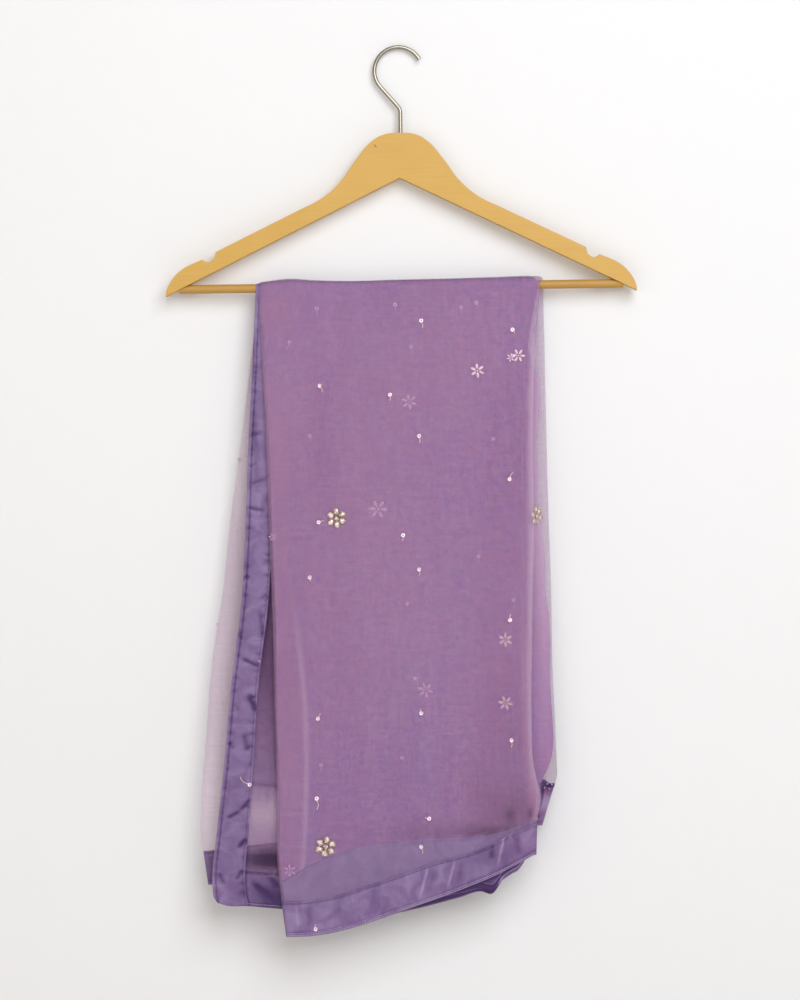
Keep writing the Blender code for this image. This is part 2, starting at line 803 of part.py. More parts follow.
def make_hanger_hook(frame):
    """The wire hook, whose stem runs down into the wood."""
    route = wire_route()
    data = bpy.data.curves.new("hanger_hook", "CURVE")
    data.dimensions = "3D"
    data.bevel_depth = WIRE_RADIUS * MM
    data.bevel_resolution = 3
    data.use_fill_caps = True
    spline = data.splines.new("POLY")
    spline.points.add(len(route) - 1)
    for point, (x, z) in zip(spline.points, route):
        point.co = (x * MM, 0.0, z * MM, 1.0)
    return place("hanger_hook", data, hanger, frame)


def dress(obj, material):
    """Gives an object its material."""
    obj.data.materials.append(material)


def main():
    """Builds the hanger and the cloth on it."""
    frame = place("hanger_frame", None, hanger)
    frame.rotation_euler = (0.0, -HANGER_TILT, 0.0)
    dress(make_hanger_body(frame), new_material("varnished wood", (0.69, 0.42, 0.13), 0.42))
    dress(make_hanger_bar(frame), new_material("bar wood", (0.60, 0.36, 0.10), 0.45))
    dress(make_hanger_hook(frame), new_material("plated steel wire", (0.55, 0.53, 0.50), 0.3, 1.0))

    outer = make_outer_layer()
    front_hem = make_outer_hem("front_hem", FRONT_SIDES, FRONT_BORDER_TOP, FRONT_HEM, 0.0)
    back_hem = make_outer_hem("back_hem", BACK_SIDES, BACK_BORDER_TOP, BACK_HEM, math.pi)
    end_border, end_layer, end_hem = make_end_pieces()
    bundle = make_bundle()
    inner_front_hem = make_bundle_hem(
        "inner_hem_front", FRONT, 0.0, BUNDLE_BORDER_TOP, BUNDLE_HEM, front_bundle_sides
    )
    inner_back_hem = make_bundle_hem(
        "inner_hem_back", BACK, math.pi, BUNDLE_BACK_BORDER_TOP, BUNDLE_BACK_HEM, back_bundle_sides
    )
    dress(outer, new_material("sheer lilac", (0.42, 0.26, 0.45), 0.75))
    dress(end_layer, new_material("sheer lilac end", (0.38, 0.24, 0.41), 0.75))
    dress(bundle, new_material("folded lilac layers", (0.30, 0.16, 0.33), 0.8))
    dress(end_border, new_material("violet satin end", (0.19, 0.12, 0.28), 0.4))
    dress(end_hem, new_material("violet satin end hem", (0.17, 0.11, 0.26), 0.4))
    dress(front_hem, new_material("violet satin front", (0.21, 0.13, 0.30), 0.4))
    dress(back_hem, new_material("violet satin back", (0.20, 0.12, 0.29), 0.4))
    dress(inner_front_hem, new_material("violet satin inner front", (0.15, 0.09, 0.24), 0.4))
    dress(inner_back_hem, new_material("violet satin inner back", (0.15, 0.09, 0.23), 0.4))


clear_scene()
hanger = new_collection("clothes hanger")
cloth = new_collection("dupatta stole")
cutters = new_collection("cutters", hidden=True)
main()
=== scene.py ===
"""The looks of a sheer dupatta stole, folded lengthwise and hung over the bar of a wooden clothes hanger.

Sizes are in millimetres, in the frame's axes: +X runs along the bar to the viewer's right, +Z is up, the
front faces -Y and the origin is inside the crown of the hook. A drop is measured down from that crown. MM
turns millimetres to the frame's metres where a mesh gets its points.
"""

import logging
import math
from dataclasses import dataclass, field, replace
from enum import Enum
from itertools import product
from typing import Callable, NamedTuple, Sequence

import bmesh
import bpy
import numpy as np
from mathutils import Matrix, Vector
from mathutils.bvhtree import BVHTree


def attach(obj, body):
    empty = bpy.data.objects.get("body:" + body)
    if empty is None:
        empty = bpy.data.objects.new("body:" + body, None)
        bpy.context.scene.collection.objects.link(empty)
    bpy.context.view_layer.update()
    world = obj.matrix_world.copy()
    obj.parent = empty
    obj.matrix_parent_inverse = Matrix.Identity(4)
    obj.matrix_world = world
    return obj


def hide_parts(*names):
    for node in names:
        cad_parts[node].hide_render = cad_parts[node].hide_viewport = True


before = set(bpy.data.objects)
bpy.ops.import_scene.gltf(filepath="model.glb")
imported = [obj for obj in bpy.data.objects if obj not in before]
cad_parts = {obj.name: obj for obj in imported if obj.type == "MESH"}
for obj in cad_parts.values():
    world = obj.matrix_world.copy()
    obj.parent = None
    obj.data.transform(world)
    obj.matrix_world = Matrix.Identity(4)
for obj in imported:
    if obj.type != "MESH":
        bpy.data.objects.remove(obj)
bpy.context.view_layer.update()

MM = 0.001
BODY = "root"
log = logging.getLogger("dupatta")

Points = np.ndarray
Piece = bpy.types.Object
Material = bpy.types.Material
Tree = bpy.types.NodeTree
Node = bpy.types.Node
Socket = bpy.types.NodeSocket
ONE_UNIT = 1.0 / MM  # in millimetres, one unit of the frame or of coordinates that are scaled already


# ---------------------------------------------------------------------------------------------------------
# Tables: named rows that the cloth's outline and folds are read from


class Side(NamedTuple):
    """The left and right edges of a hanging layer at one drop."""

    drop: float
    left: float
    right: float


class EndEdge(NamedTuple):
    """The end layer's outer edge at one drop below the crown, and how wide its upright border is there."""

    drop: float
    left: float
    border_width: float


class Line(NamedTuple):
    """The drop of a line that runs across a layer, at one place across it."""

    across: float
    drop: float


class Lift(NamedTuple):
    """How loosely the layers lie over the bar at one place along it: 0 is pressed flat, 1 is full height."""

    across: float
    share: float


class Swell(NamedTuple):
    """A broad upright fold: its place across, how far it stands out, its half width, and where it runs."""

    across: float
    height: float
    half_width: float
    middle: float
    reach: float


class Crease(NamedTuple):
    """A narrow ridge (or trough, if its height is negative) between two places on a layer."""

    across_from: float
    drop_from: float
    across_to: float
    drop_to: float
    half_width: float
    height: float


class ToneAndShade(NamedTuple):
    """A broad soft change of colour: how much warmer (or cooler) and how much lighter (or darker) it is.
    Lighter and darker are mostly painted light and shade.
    """

    across: float
    drop: float
    half_width: float
    half_height: float
    warm: float
    light: float


class Motif(NamedTuple):
    """One sewn motif: its place on the layer, its turn in degrees and its size against the pattern's own."""

    across: float
    drop: float
    turn: float = 0.0
    size: float = 1.0


class Corner(NamedTuple):
    """A point of the hanger's right-hand outline, from the middle outwards."""

    reach: float
    drop: float
    smooth: bool


def table(kind: Callable[..., NamedTuple], *rows: Sequence[object]) -> tuple[NamedTuple, ...]:
    """Names the numbers of a table's rows and returns the table."""
    return tuple(kind(*row) for row in rows)


def ease(share: Points | float) -> Points:
    """A smooth step from 0 to 1.

    Args:
        share: How far along the step, clipped to 0..1.

    Returns:
        The eased share.
    """
    share = np.clip(share, 0.0, 1.0)
    return share * share * (3.0 - 2.0 * share)


def bell(distance: Points, half_width: float) -> Points:
    """A smooth bump that is 1 at no distance and 0.37 at its half width."""
    return np.exp(-((distance / half_width) ** 2))


def read_rows(rows: Sequence[NamedTuple], column: str, at: Points | float) -> Points:
    """Reads a column of a table by a smooth curve through its rows.

    Args:
        rows: The table, in rising order of its first column.
        column: The name of the column to read.
        at: Where along the first column to read it.

    Returns:
        The column's values there, held at the table's ends.
    """
    keys = np.array([row[0] for row in rows], float)
    values = np.array([getattr(row, column) for row in rows], float)
    at = np.clip(np.asarray(at, float), keys[0], keys[-1])
    slopes = np.gradient(values, keys)
    i = np.clip(np.searchsorted(keys, at, side="right") - 1, 0, len(keys) - 2)
    span = keys[i + 1] - keys[i]
    s = (at - keys[i]) / span
    step = (values[i + 1] - values[i]) * s * s * (3.0 - 2.0 * s)
    lead_in = span * slopes[i] * s * (1.0 - s) ** 2
    lead_out = span * slopes[i + 1] * s * s * (s - 1.0)
    return values[i] + step + lead_in + lead_out


def swelling(swells: Sequence[Swell], across: Points, drop: Points) -> Points:
    """How far the broad folds push a layer out.

    Args:
        swells: The folds.
        across: Places across the layer.
        drop: Drops on the layer.

    Returns:
        The distance out at each place.
    """
    total = np.zeros(np.broadcast(across, drop).shape)
    for swell in swells:
        sideways = bell(across - swell.across, swell.half_width)
        total += swell.height * sideways * bell(drop - swell.middle, swell.reach)
    return total


def creasing(creases: Sequence[Crease], across: Points, drop: Points) -> Points:
    """How far the narrow creases move a layer out or in.

    Args:
        creases: The creases.
        across: Places across the layer.
        drop: Drops on the layer.

    Returns:
        The distance out at each place, negative in a trough.
    """
    total = np.zeros(np.broadcast(across, drop).shape)
    for crease in creases:
        run_x = crease.across_to - crease.across_from
        run_z = crease.drop_to - crease.drop_from
        length = math.hypot(run_x, run_z)
        along = ((across - crease.across_from) * run_x + (drop - crease.drop_from) * run_z) / length**2
        aside = ((across - crease.across_from) * run_z - (drop - crease.drop_from) * run_x) / length
        taper = ease(along / 0.3) * ease((1.0 - along) / 0.3)
        total += crease.height * taper * bell(aside, crease.half_width)
    return total


def toning_and_shading(tones_and_shade: Sequence[ToneAndShade], across: Points, drop: Points) -> tuple[Points, Points]:
    """The broad changes of colour, and the painted light and shade, at places on a layer.

    Args:
        tones_and_shade: The changes, painted light and shade among them.
        across: Places across the layer.
        drop: Drops on the layer.

    Returns:
        How much warmer and how much lighter each place is, negative for cooler and darker; the lightness is
        mostly painted light and shade.
    """
    warm = np.zeros(np.broadcast(across, drop).shape)
    light = np.zeros_like(warm)
    for tone in tones_and_shade:
        share = bell(across - tone.across, tone.half_width) * bell(drop - tone.drop, tone.half_height)
        warm += tone.warm * share
        light += tone.light * share
    return warm, light


def curl(distance: Points, bend: Points) -> tuple[Points, Points]:
    """Follows a sheet round a fold.

    Args:
        distance: How far along the sheet from where the fold starts.
        bend: One over the fold's radius.

    Returns:
        How far sideways and how far back the sheet has come.
    """
    bend = np.maximum(bend, 1e-6)
    return np.sin(bend * distance) / bend, (1.0 - np.cos(bend * distance)) / bend


# ---------------------------------------------------------------------------------------------------------
# Meshes


class Sheet(NamedTuple):
    """A grid of points with the layer's own coordinates at each, and how warm and how light each is; the
    lightness is mostly painted light and shade.
    """

    points: Points  # rows, columns, 3, in metres
    across: Points  # rows, columns, in millimetres
    along: Points
    warm: Points
    light: Points


def link(obj: Piece) -> Piece:
    """Puts an object in the scene and returns it."""
    bpy.context.scene.collection.objects.link(obj)
    return obj


def plain_copy(obj: Piece, name: str) -> Piece:
    """Replaces an object and its modifiers by the plain mesh they make.

    Args:
        obj: The object, which is removed.
        name: The new object's name.

    Returns:
        An object at the origin that holds the finished mesh.
    """
    bpy.context.view_layer.update()
    graph = bpy.context.evaluated_depsgraph_get()
    mesh = bpy.data.meshes.new_from_object(obj.evaluated_get(graph), depsgraph=graph)
    bpy.data.objects.remove(obj, do_unlink=True)
    mesh.name = name
    return link(bpy.data.objects.new(name, mesh))


def stand_in(piece: Piece, node: str) -> Piece:
    """Puts a finished piece on the body in place of one of its solids.

    Args:
        piece: The piece.
        node: The solid that it replaces.

    Returns:
        The same piece.
    """
    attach(piece, BODY)
    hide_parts(node)
    return piece


def number_points(mesh: bpy.types.Mesh, **columns: Sequence[float]) -> None:
    """Gives a mesh's points one attribute for each keyword.

    Args:
        mesh: The mesh.
        columns: The attributes' names, each with a number for each point.
    """
    for name, values in columns.items():
        attribute = mesh.attributes.new(name, "FLOAT", "POINT")
        attribute.data.foreach_set("value", np.asarray(values, np.float32).reshape(-1))


def sheet_object(name: str, sheets: Sequence[Sheet], wall: float, material: Material) -> Piece:
    """Makes cloth of one or more grids, each given a thin wall inwards.

    Args:
        name: The piece's name.
        sheets: The grids, whose columns run to +X on the front.
        wall: The cloth's thickness in millimetres.
        material: Its finish.

    Returns:
        The finished piece, with a UV map "Cloth" in metres and its "warm" and "light" attributes.
    """
    verts: list[Points] = []
    faces: list[Points] = []
    cloth_uv: list[Points] = []
    count = 0
    for sheet in sheets:
        rows, columns = sheet.across.shape
        index = count + np.arange(rows * columns).reshape(rows, columns)
        quads = np.stack([index[:-1, :-1], index[:-1, 1:], index[1:, 1:], index[1:, :-1]], axis=-1)
        verts.append(sheet.points.reshape(-1, 3))
        faces.append(quads.reshape(-1, 4))
        cloth_uv.append(np.stack([sheet.across, sheet.along], axis=-1).reshape(-1, 2) * MM)
        count += rows * columns
    mesh = bpy.data.meshes.new(name)
    all_faces = np.concatenate(faces)
    mesh.from_pydata(np.concatenate(verts).tolist(), [], all_faces.tolist())
    uv_layer = mesh.uv_layers.new(name="Cloth")
    uv_layer.data.foreach_set("uv", np.concatenate(cloth_uv)[all_faces.reshape(-1)].reshape(-1))
    warm, light = ([getattr(sheet, name).reshape(-1) for sheet in sheets] for name in ("warm", "light"))
    number_points(mesh, warm=np.concatenate(warm), light=np.concatenate(light))
    mesh.shade_smooth()
    obj = link(bpy.data.objects.new(name + "_open", mesh))
    solidify = obj.modifiers.new("Wall", "SOLIDIFY")
    solidify.thickness = wall * MM
    solidify.offset = -1.0
    solidify.use_even_offset = True
    obj = plain_copy(obj, name)
    obj.data.materials.clear()
    obj.data.materials.append(material)
    return obj


def spline_object(name: str, routes: Sequence[Points]) -> Piece:
    """Makes a curve object of open straight-sided splines.

    Args:
        name: The object's name.
        routes: One array of points for each spline, in metres.

    Returns:
        The curve object.
    """
    data = bpy.data.curves.new(name, "CURVE")
    data.dimensions = "3D"
    for route in routes:
        spline = data.splines.new("POLY")
        spline.points.add(len(route) - 1)
        flat = np.concatenate([route, np.ones((len(route), 1))], axis=1)
        spline.points.foreach_set("co", flat.reshape(-1))
    return link(bpy.data.objects.new(name, data))


# ---------------------------------------------------------------------------------------------------------
# Finishes


def srgb(code: str) -> tuple[float, float, float, float]:
    """Turns an sRGB hex colour to the linear colour that shaders take.

    Args:
        code: Six hex digits, such as "98739d".

    Returns:
        Linear red, green, blue and an alpha of 1.
    """
    parts = [int(code[i : i + 2], 16) / 255.0 for i in (0, 2, 4)]
    linear = [p / 12.92 if p <= 0.04045 else ((p + 0.055) / 1.055) ** 2.4 for p in parts]
    return (linear[0], linear[1], linear[2], 1.0)


def add_node(
    tree: Tree,
    kind: str,
    settings: dict[str, object] | None = None,
    inputs: dict[str | int, object] | None = None,
) -> Node:
    """Adds a node with its settings, its fixed inputs and its links.

    Args:
        tree: The tree to add to.
        kind: The node's type name.
        settings: Properties of the node.
        inputs: Socket names or numbers, each with a value or with the output socket that feeds it.

    Returns:
        The node.
    """
    node = tree.nodes.new(kind)
    for name, value in (settings or {}).items():
        setattr(node, name, value)
    for socket, value in (inputs or {}).items():
        if isinstance(value, Socket):
            tree.links.new(value, node.inputs[socket])
        else:
            node.inputs[socket].default_value = value
    return node


def new_surface(name: str) -> tuple[Material, Tree, Node]:
    """Makes a material and finds its shader.

    Args:
        name: The material's name.

    Returns:
        The material, its tree and its Principled shader.
    """
    material = bpy.data.materials.new(name)
    material.use_nodes = True
    tree = material.node_tree
    return material, tree, tree.nodes["Principled BSDF"]


def set_plain(shader: Node, values: dict[str, object]) -> None:
    """Sets numbers and colours that are the same all over, on the shader's own sockets."""
    for name, value in values.items():
        shader.inputs[name].default_value = value


def cloth_map(tree: Tree) -> Socket:
    """Adds the cloth's own coordinates, in metres across and along it."""
    return add_node(tree, "ShaderNodeUVMap", {"uv_map": "Cloth"}).outputs["UV"]


def place_in_object(tree: Tree) -> Socket:
    """Adds the place in the object, in metres."""
    return add_node(tree, "ShaderNodeTexCoord").outputs["Object"]


def clouds(tree: Tree, place: Socket, size: float, flat: bool, **others: float) -> Socket:
    """Adds cloudy noise of a real size.

    Args:
        tree: The material's tree.
        place: The coordinates it is read at, in metres.
        size: The size of its clouds in millimetres.
        flat: Whether the coordinates are a cloth's, not places in space.
        others: The noise node's other inputs.

    Returns:
        The output that holds it, about 0.5 on average.
    """
    settings = {"noise_dimensions": "2D" if flat else "3D"}
    inputs = {"Vector": place, "Scale": 1.0 / (size * MM), **others}
    return add_node(tree, "ShaderNodeTexNoise", settings, inputs).outputs["Fac"]


def streaks(tree: Tree, uv: Socket, width: float, length: float) -> Socket:
    """Adds noise drawn out into streaks, for the thick and thin yarns of a cloth.

    Args:
        tree: The material's tree.
        uv: The cloth's coordinates, in metres.
        width: The streaks' size across the cloth in millimetres.
        length: Their size down the cloth.

    Returns:
        The output that holds them, about 0.5 on average.
    """
    scale = (1.0 / (width * MM), 1.0 / (length * MM), 1.0)
    stretched = add_node(tree, "ShaderNodeMapping", {}, {"Vector": uv, "Scale": scale}).outputs[0]
    return clouds(tree, stretched, ONE_UNIT, True, Detail=2.0)


def work_out(tree: Tree, operation: str, *values: object) -> Socket:
    """Adds one step of arithmetic on outputs and numbers, and returns its output."""
    return add_node(tree, "ShaderNodeMath", {"operation": operation}, dict(enumerate(values))).outputs[0]


def rescale(tree: Tree, value: Socket, low: float, high: float, to_low: float, to_high: float) -> Socket:
    """Changes a value's range, and holds it at the new range's ends.

    Args:
        tree: The material's tree.
        value: The value.
        low: The value that turns to the new low end.
        high: The value that turns to the new high end.
        to_low: The new low end.
        to_high: The new high end.

    Returns:
        The output that holds the new value.
    """
    inputs = {"Value": value, "From Min": low, "From Max": high, "To Min": to_low, "To Max": to_high}
    return add_node(tree, "ShaderNodeMapRange", {}, inputs).outputs[0]


def blend(tree: Tree, share: Socket, first: Socket | str, second: Socket | str) -> Socket:
    """Mixes two colours, each an output or a hex code.

    Args:
        tree: The material's tree.
        share: How far the mix goes to the second colour.
        first: The first colour.
        second: The second colour.

    Returns:
        The output that holds the mix.
    """
    ends = [srgb(colour) if isinstance(colour, str) else colour for colour in (first, second)]
    mix = add_node(tree, "ShaderNodeMix", {"data_type": "RGBA"}, {0: share, 6: ends[0], 7: ends[1]})
    return mix.outputs[2]


def emboss(tree: Tree, shader: Node, height: Socket, strength: float, depth: float) -> None:
    """Gives a shader small relief.

    Args:
        tree: The material's tree.
        shader: Its shader.
        height: The relief, 0 to 1.
        strength: How strongly it shows.
        depth: Its real depth in millimetres.
    """
    inputs = {"Height": height, "Strength": strength, "Distance": depth * MM}
    tree.links.new(add_node(tree, "ShaderNodeBump", {}, inputs).outputs[0], shader.inputs["Normal"])


def toned_and_shaded(tree: Tree, colour: Socket, warm: str, cool: str, light: str, dark: str) -> Socket:
    """Adds a piece's own broad changes of colour, and its painted light and shade, from its "warm" and
    "light" attributes.

    Args:
        tree: The material's tree.
        colour: The colour so far.
        warm: The colour that full warmth goes to.
        cool: The colour that full coolness goes to.
        light: The colour that full lightness goes to, for painted highlights and paler places.
        dark: The colour that full darkness goes to, for painted shade.

    Returns:
        The changed colour.
    """
    clamped = {"operation": "MULTIPLY", "use_clamp": True}
    for attribute, above, below in (("warm", warm, cool), ("light", light, dark)):
        amount = add_node(tree, "ShaderNodeAttribute", {"attribute_name": attribute}).outputs["Fac"]
        for target, sign in ((above, 1.0), (below, -1.0)):
            share = add_node(tree, "ShaderNodeMath", clamped, {0: amount, 1: sign}).outputs[0]
            colour = blend(tree, share, colour, target)
    return colour


def mottled(tree: Tree, uv: Socket, colour: Socket, size: float, warm: str, cool: str) -> Socket:
    """Adds the small cloudy changes of colour that crossed plies of fine cloth show.

    Args:
        tree: The material's tree.
        uv: The cloth's coordinates, in metres.
        colour: The colour so far.
        size: The clouds' size in millimetres.
        warm: The colour some of them lean to.
        cool: The colour that others lean to.

    Returns:
        The changed colour.
    """
    for target, offset in ((warm, 0.0), (cool, 7.3)):
        shifted = {"Vector": uv, "Location": (offset, offset, 0.0)}
        place = add_node(tree, "ShaderNodeMapping", {}, shifted).outputs[0]
        cloudy = clouds(tree, place, size, True, Detail=3.0, Roughness=0.6, Distortion=0.5)
        colour = blend(tree, rescale(tree, cloudy, 0.46, 0.7, 0.0, 0.7), colour, target)
    return colour


@dataclass(frozen=True)
class Organza:
    """Sheer plain-weave organza: fine stiff yarns with open gaps, so what lies behind shows through.

    Thick and thin yarns (slubs) give faint upright and level streaks. The real yarns are 0.3 mm apart, too
    fine to show, so the streaks are drawn 1.6 mm wide.
    """

    name: str = "organza_sheer"
    colour: str = "ad80b0"
    second_colour: str = "a57fb4"
    streak_colour: str = "d6b8d6"
    warm_colour: str = "be88ac"
    cool_colour: str = "887ab6"
    # light_colour and dark_colour take the "light" attribute: painted highlights, painted shade, and paler
    # and darker places.
    light_colour: str = "e6d2e6"
    dark_colour: str = "4c3054"
    cover: float = 0.27  # of one face of the wall; light crosses two faces
    cover_change: float = 0.02
    mottle: float = 4.5
    streak_width: float = 1.6
    streak_length: float = 38.0
    patch: float = 75.0

    def material(self) -> Material:
        """Builds the material.

        Returns:
            The material.
        """
        material, tree, shader = new_surface(self.name)
        uv = cloth_map(tree)
        warp = streaks(tree, uv, self.streak_width, self.streak_length)
        weft = streaks(tree, uv, self.streak_length, self.streak_width)
        weave = work_out(tree, "ADD", warp, weft)
        patches = clouds(tree, uv, self.patch, True, Detail=1.0)
        tinted = blend(tree, patches, self.colour, self.second_colour)
        colour = blend(tree, rescale(tree, weave, 0.8, 1.2, 0.0, 0.4), tinted, self.streak_colour)
        colour = mottled(tree, uv, colour, self.mottle, self.warm_colour, self.cool_colour)
        colour = toned_and_shaded(tree, colour, self.warm_colour, self.cool_colour, self.light_colour, self.dark_colour)
        tree.links.new(colour, shader.inputs["Base Color"])
        least, most = self.cover - self.cover_change, self.cover + self.cover_change
        cover = rescale(tree, weave, 0.75, 1.25, least, most)
        tree.links.new(cover, shader.inputs["Alpha"])
        emboss(tree, shader, weave, 0.3, 0.25)
        set_plain(
            shader,
            {"Roughness": 0.6, "Sheen Weight": 0.3, "Sheen Roughness": 0.35,
             "Sheen Tint": srgb("f3e4f1"), "Specular IOR Level": 0.35},
        )
        return material


@dataclass(frozen=True)
class LayeredOrganza:
    """Six plies of the organza lying together: no longer see-through, with broad soft changes of colour where
    the plies part, faint upright bands, a watered pattern where their weaves cross, and painted light and
    shade."""

    name: str = "organza_layered"
    colour: str = "935f99"
    second_colour: str = "8961a0"
    watered_colour: str = "b088b6"
    rosy_colour: str = "96668c"
    bluish_colour: str = "8068a2"
    warm_colour: str = "9c688c"
    cool_colour: str = "7369a6"
    # light_colour and dark_colour take the "light" attribute's painted highlights and painted shade.
    light_colour: str = "d3b6d2"
    dark_colour: str = "4c2f52"
    patch: float = 55.0
    ripple: float = 2.4
    slub_width: float = 2.4
    slub_length: float = 15.0
    slub_share: float = 0.8
    mottle: float = 8.0
    band_width: float = 17.0
    band_length: float = 420.0

    def material(self) -> Material:
        """Builds the material.

        Returns:
            The material.
        """
        material, tree, shader = new_surface(self.name)
        uv = cloth_map(tree)
        patches = clouds(tree, uv, self.patch, True, Detail=2.0)
        ripples = clouds(tree, uv, self.ripple, True, Detail=3.0, Distortion=1.4)
        bands = streaks(tree, uv, self.band_width, self.band_length)
        tinted = blend(tree, rescale(tree, patches, 0.35, 0.65, 0.0, 1.0), self.colour, self.second_colour)
        warp = streaks(tree, uv, self.slub_width, self.slub_length)
        weft = streaks(tree, uv, self.slub_length, self.slub_width)
        slubs = work_out(tree, "ADD", warp, weft)
        watered = work_out(tree, "ADD", ripples, bands)
        texture = work_out(tree, "MULTIPLY_ADD", slubs, self.slub_share, watered)
        colour = blend(tree, rescale(tree, texture, 1.5, 2.2, 0.0, 0.62), tinted, self.watered_colour)
        colour = mottled(tree, uv, colour, self.mottle, self.rosy_colour, self.bluish_colour)
        colour = toned_and_shaded(tree, colour, self.warm_colour, self.cool_colour, self.light_colour, self.dark_colour)
        tree.links.new(colour, shader.inputs["Base Color"])
        set_plain(
            shader,
            {"Roughness": 0.7, "Sheen Weight": 0.25, "Sheen Roughness": 0.4,
             "Sheen Tint": srgb("efe0ee"), "Specular IOR Level": 0.3},
        )
        return material


@dataclass(frozen=True)
class Satin:
    """Violet polyester satin: long floats that run one way give a soft bright gloss on every rounded pucker;
    its colour adds painted highlight on the ridges, painted shade in the troughs and painted sheen along the
    floats."""

    name: str = "satin_violet"
    colour: str = "765c8f"
    warm_colour: str = "9a6a9a"
    cool_colour: str = "6a62a4"
    # light_colour and dark_colour take painted highlight and painted shade; light_colour also gives the
    # floats' painted sheen.
    light_colour: str = "b5a2c8"
    dark_colour: str = "3a1a5a"
    patch: float = 16.0
    float_width: float = 0.9
    float_length: float = 14.0
    float_share: float = 0.25

    def material(self) -> Material:
        """Builds the material.

        Returns:
            The material.
        """
        material, tree, shader = new_surface(self.name)
        uv = cloth_map(tree)
        floats = streaks(tree, uv, self.float_width, self.float_length)
        patches = clouds(tree, uv, self.patch, True, Detail=2.0, Distortion=0.6)
        uneven = work_out(tree, "MULTIPLY_ADD", floats, self.float_share, patches)
        # painted sheen: paler streaks along the floats, and paler patches
        colour = blend(tree, rescale(tree, uneven, 0.45, 0.85, 0.0, 0.3), self.colour, self.light_colour)
        colour = toned_and_shaded(tree, colour, self.warm_colour, self.cool_colour, self.light_colour, self.dark_colour)
        tree.links.new(colour, shader.inputs["Base Color"])
        emboss(tree, shader, floats, 0.12, 0.08)
        set_plain(
            shader,
            {"Roughness": 0.44, "Sheen Weight": 0.15, "Sheen Roughness": 0.3, "Sheen Tint": srgb("c9bbdc"),
             "Anisotropic": 0.4, "Specular IOR Level": 0.5},
        )
        return material


@dataclass(frozen=True)
class VarnishedWood:
    """Close-grained hardwood, sanded and varnished a honey tan: hardly any grain, a slightly uneven tone with
    faint darker flecks, and a soft coat that shines on the rounded edges."""

    name: str = "wood_varnished"
    colour: str = "cca047"
    grain_colour: str = "b68938"
    pale_colour: str = "d3aa54"
    nick_colour: str = "6b4c24"
    grain_width: float = 1.4
    grain_length: float = 60.0
    grain_share: float = 0.22
    patch: float = 40.0
    nick: tuple[float, float, float] | None = None  # the middle of a small knock in the varnish
    nick_turn: float = math.radians(58.0)
    nick_size: tuple[float, float, float] = (2.6, 12.0, 0.9)

    def material(self) -> Material:
        """Builds the material.

        Returns:
            The material.
        """
        material, tree, shader = new_surface(self.name)
        place = place_in_object(tree)
        across, along = 1.0 / (self.grain_width * MM), 1.0 / (self.grain_length * MM)
        scale = (along, across * 0.4, across)
        stretched = add_node(tree, "ShaderNodeMapping", {}, {"Vector": place, "Scale": scale}).outputs[0]
        grain = clouds(tree, stretched, ONE_UNIT, False, Detail=5.0, Distortion=0.4)
        tone = clouds(tree, place, self.patch, False, Detail=2.0)
        lines = rescale(tree, grain, 0.45, 0.75, 0.0, self.grain_share)
        colour = blend(tree, lines, blend(tree, tone, self.colour, self.pale_colour), self.grain_colour)
        if self.nick:
            colour = self.nicked(tree, place, colour)
        tree.links.new(colour, shader.inputs["Base Color"])
        emboss(tree, shader, grain, 0.12, 0.12)
        set_plain(
            shader, {"Roughness": 0.5, "Coat Weight": 0.2, "Coat Roughness": 0.3, "Specular IOR Level": 0.4}
        )
        return material

    def nicked(self, tree: Tree, place: Socket, colour: Socket) -> Socket:
        """Darkens the small slanting knock in the varnish.

        Args:
            tree: The material's tree.
            place: The place in the object.
            colour: The colour so far.

        Returns:
            The colour with the knock.
        """
        frame_of_nick = {
            "Vector": place, "Location": tuple(part * MM for part in self.nick),
            "Rotation": (0.0, self.nick_turn, 0.0), "Scale": tuple(part * MM for part in self.nick_size),
        }
        moved = add_node(tree, "ShaderNodeMapping", {"vector_type": "TEXTURE"}, frame_of_nick).outputs[0]
        far = add_node(tree, "ShaderNodeVectorMath", {"operation": "LENGTH"}, {0: moved}).outputs["Value"]
        return blend(tree, rescale(tree, far, 0.5, 1.0, 0.7, 0.0), colour, self.nick_colour)


@dataclass(frozen=True)
class DrawnWire:
    """Nickel-plated steel wire, drawn through a die: a grey-gold metal, a little duller in places."""

    name: str = "wire_nickel"
    colour: str = "a09a8e"
    roughness: float = 0.22

    def material(self) -> Material:
        """Builds the material.

        Returns:
            The material.
        """
        material, tree, shader = new_surface(self.name)
        fine = clouds(tree, place_in_object(tree), 0.7, False, Detail=2.0)
        rough = rescale(tree, fine, 0.0, 1.0, self.roughness - 0.06, self.roughness + 0.1)
        tree.links.new(rough, shader.inputs["Roughness"])
        set_plain(shader, {"Base Color": srgb(self.colour), "Metallic": 1.0})
        return material


@dataclass(frozen=True)
class Trim:
    """A bead, sequin or thread: two colours in small patches, and its own gloss."""

    name: str
    colour: str
    second_colour: str
    roughness: float
    metallic: float = 0.0
    coat: float = 0.0
    patch: float = 1.6

    def material(self) -> Material:
        """Builds the material.

        Returns:
            The material.
        """
        material, tree, shader = new_surface(self.name)
        change = clouds(tree, place_in_object(tree), self.patch, False, Detail=1.0)
        colour = blend(tree, rescale(tree, change, 0.42, 0.6, 0.0, 1.0), self.colour, self.second_colour)
        tree.links.new(colour, shader.inputs["Base Color"])
        set_plain(shader, {"Roughness": self.roughness, "Metallic": self.metallic, "Coat Weight": self.coat})
        return material


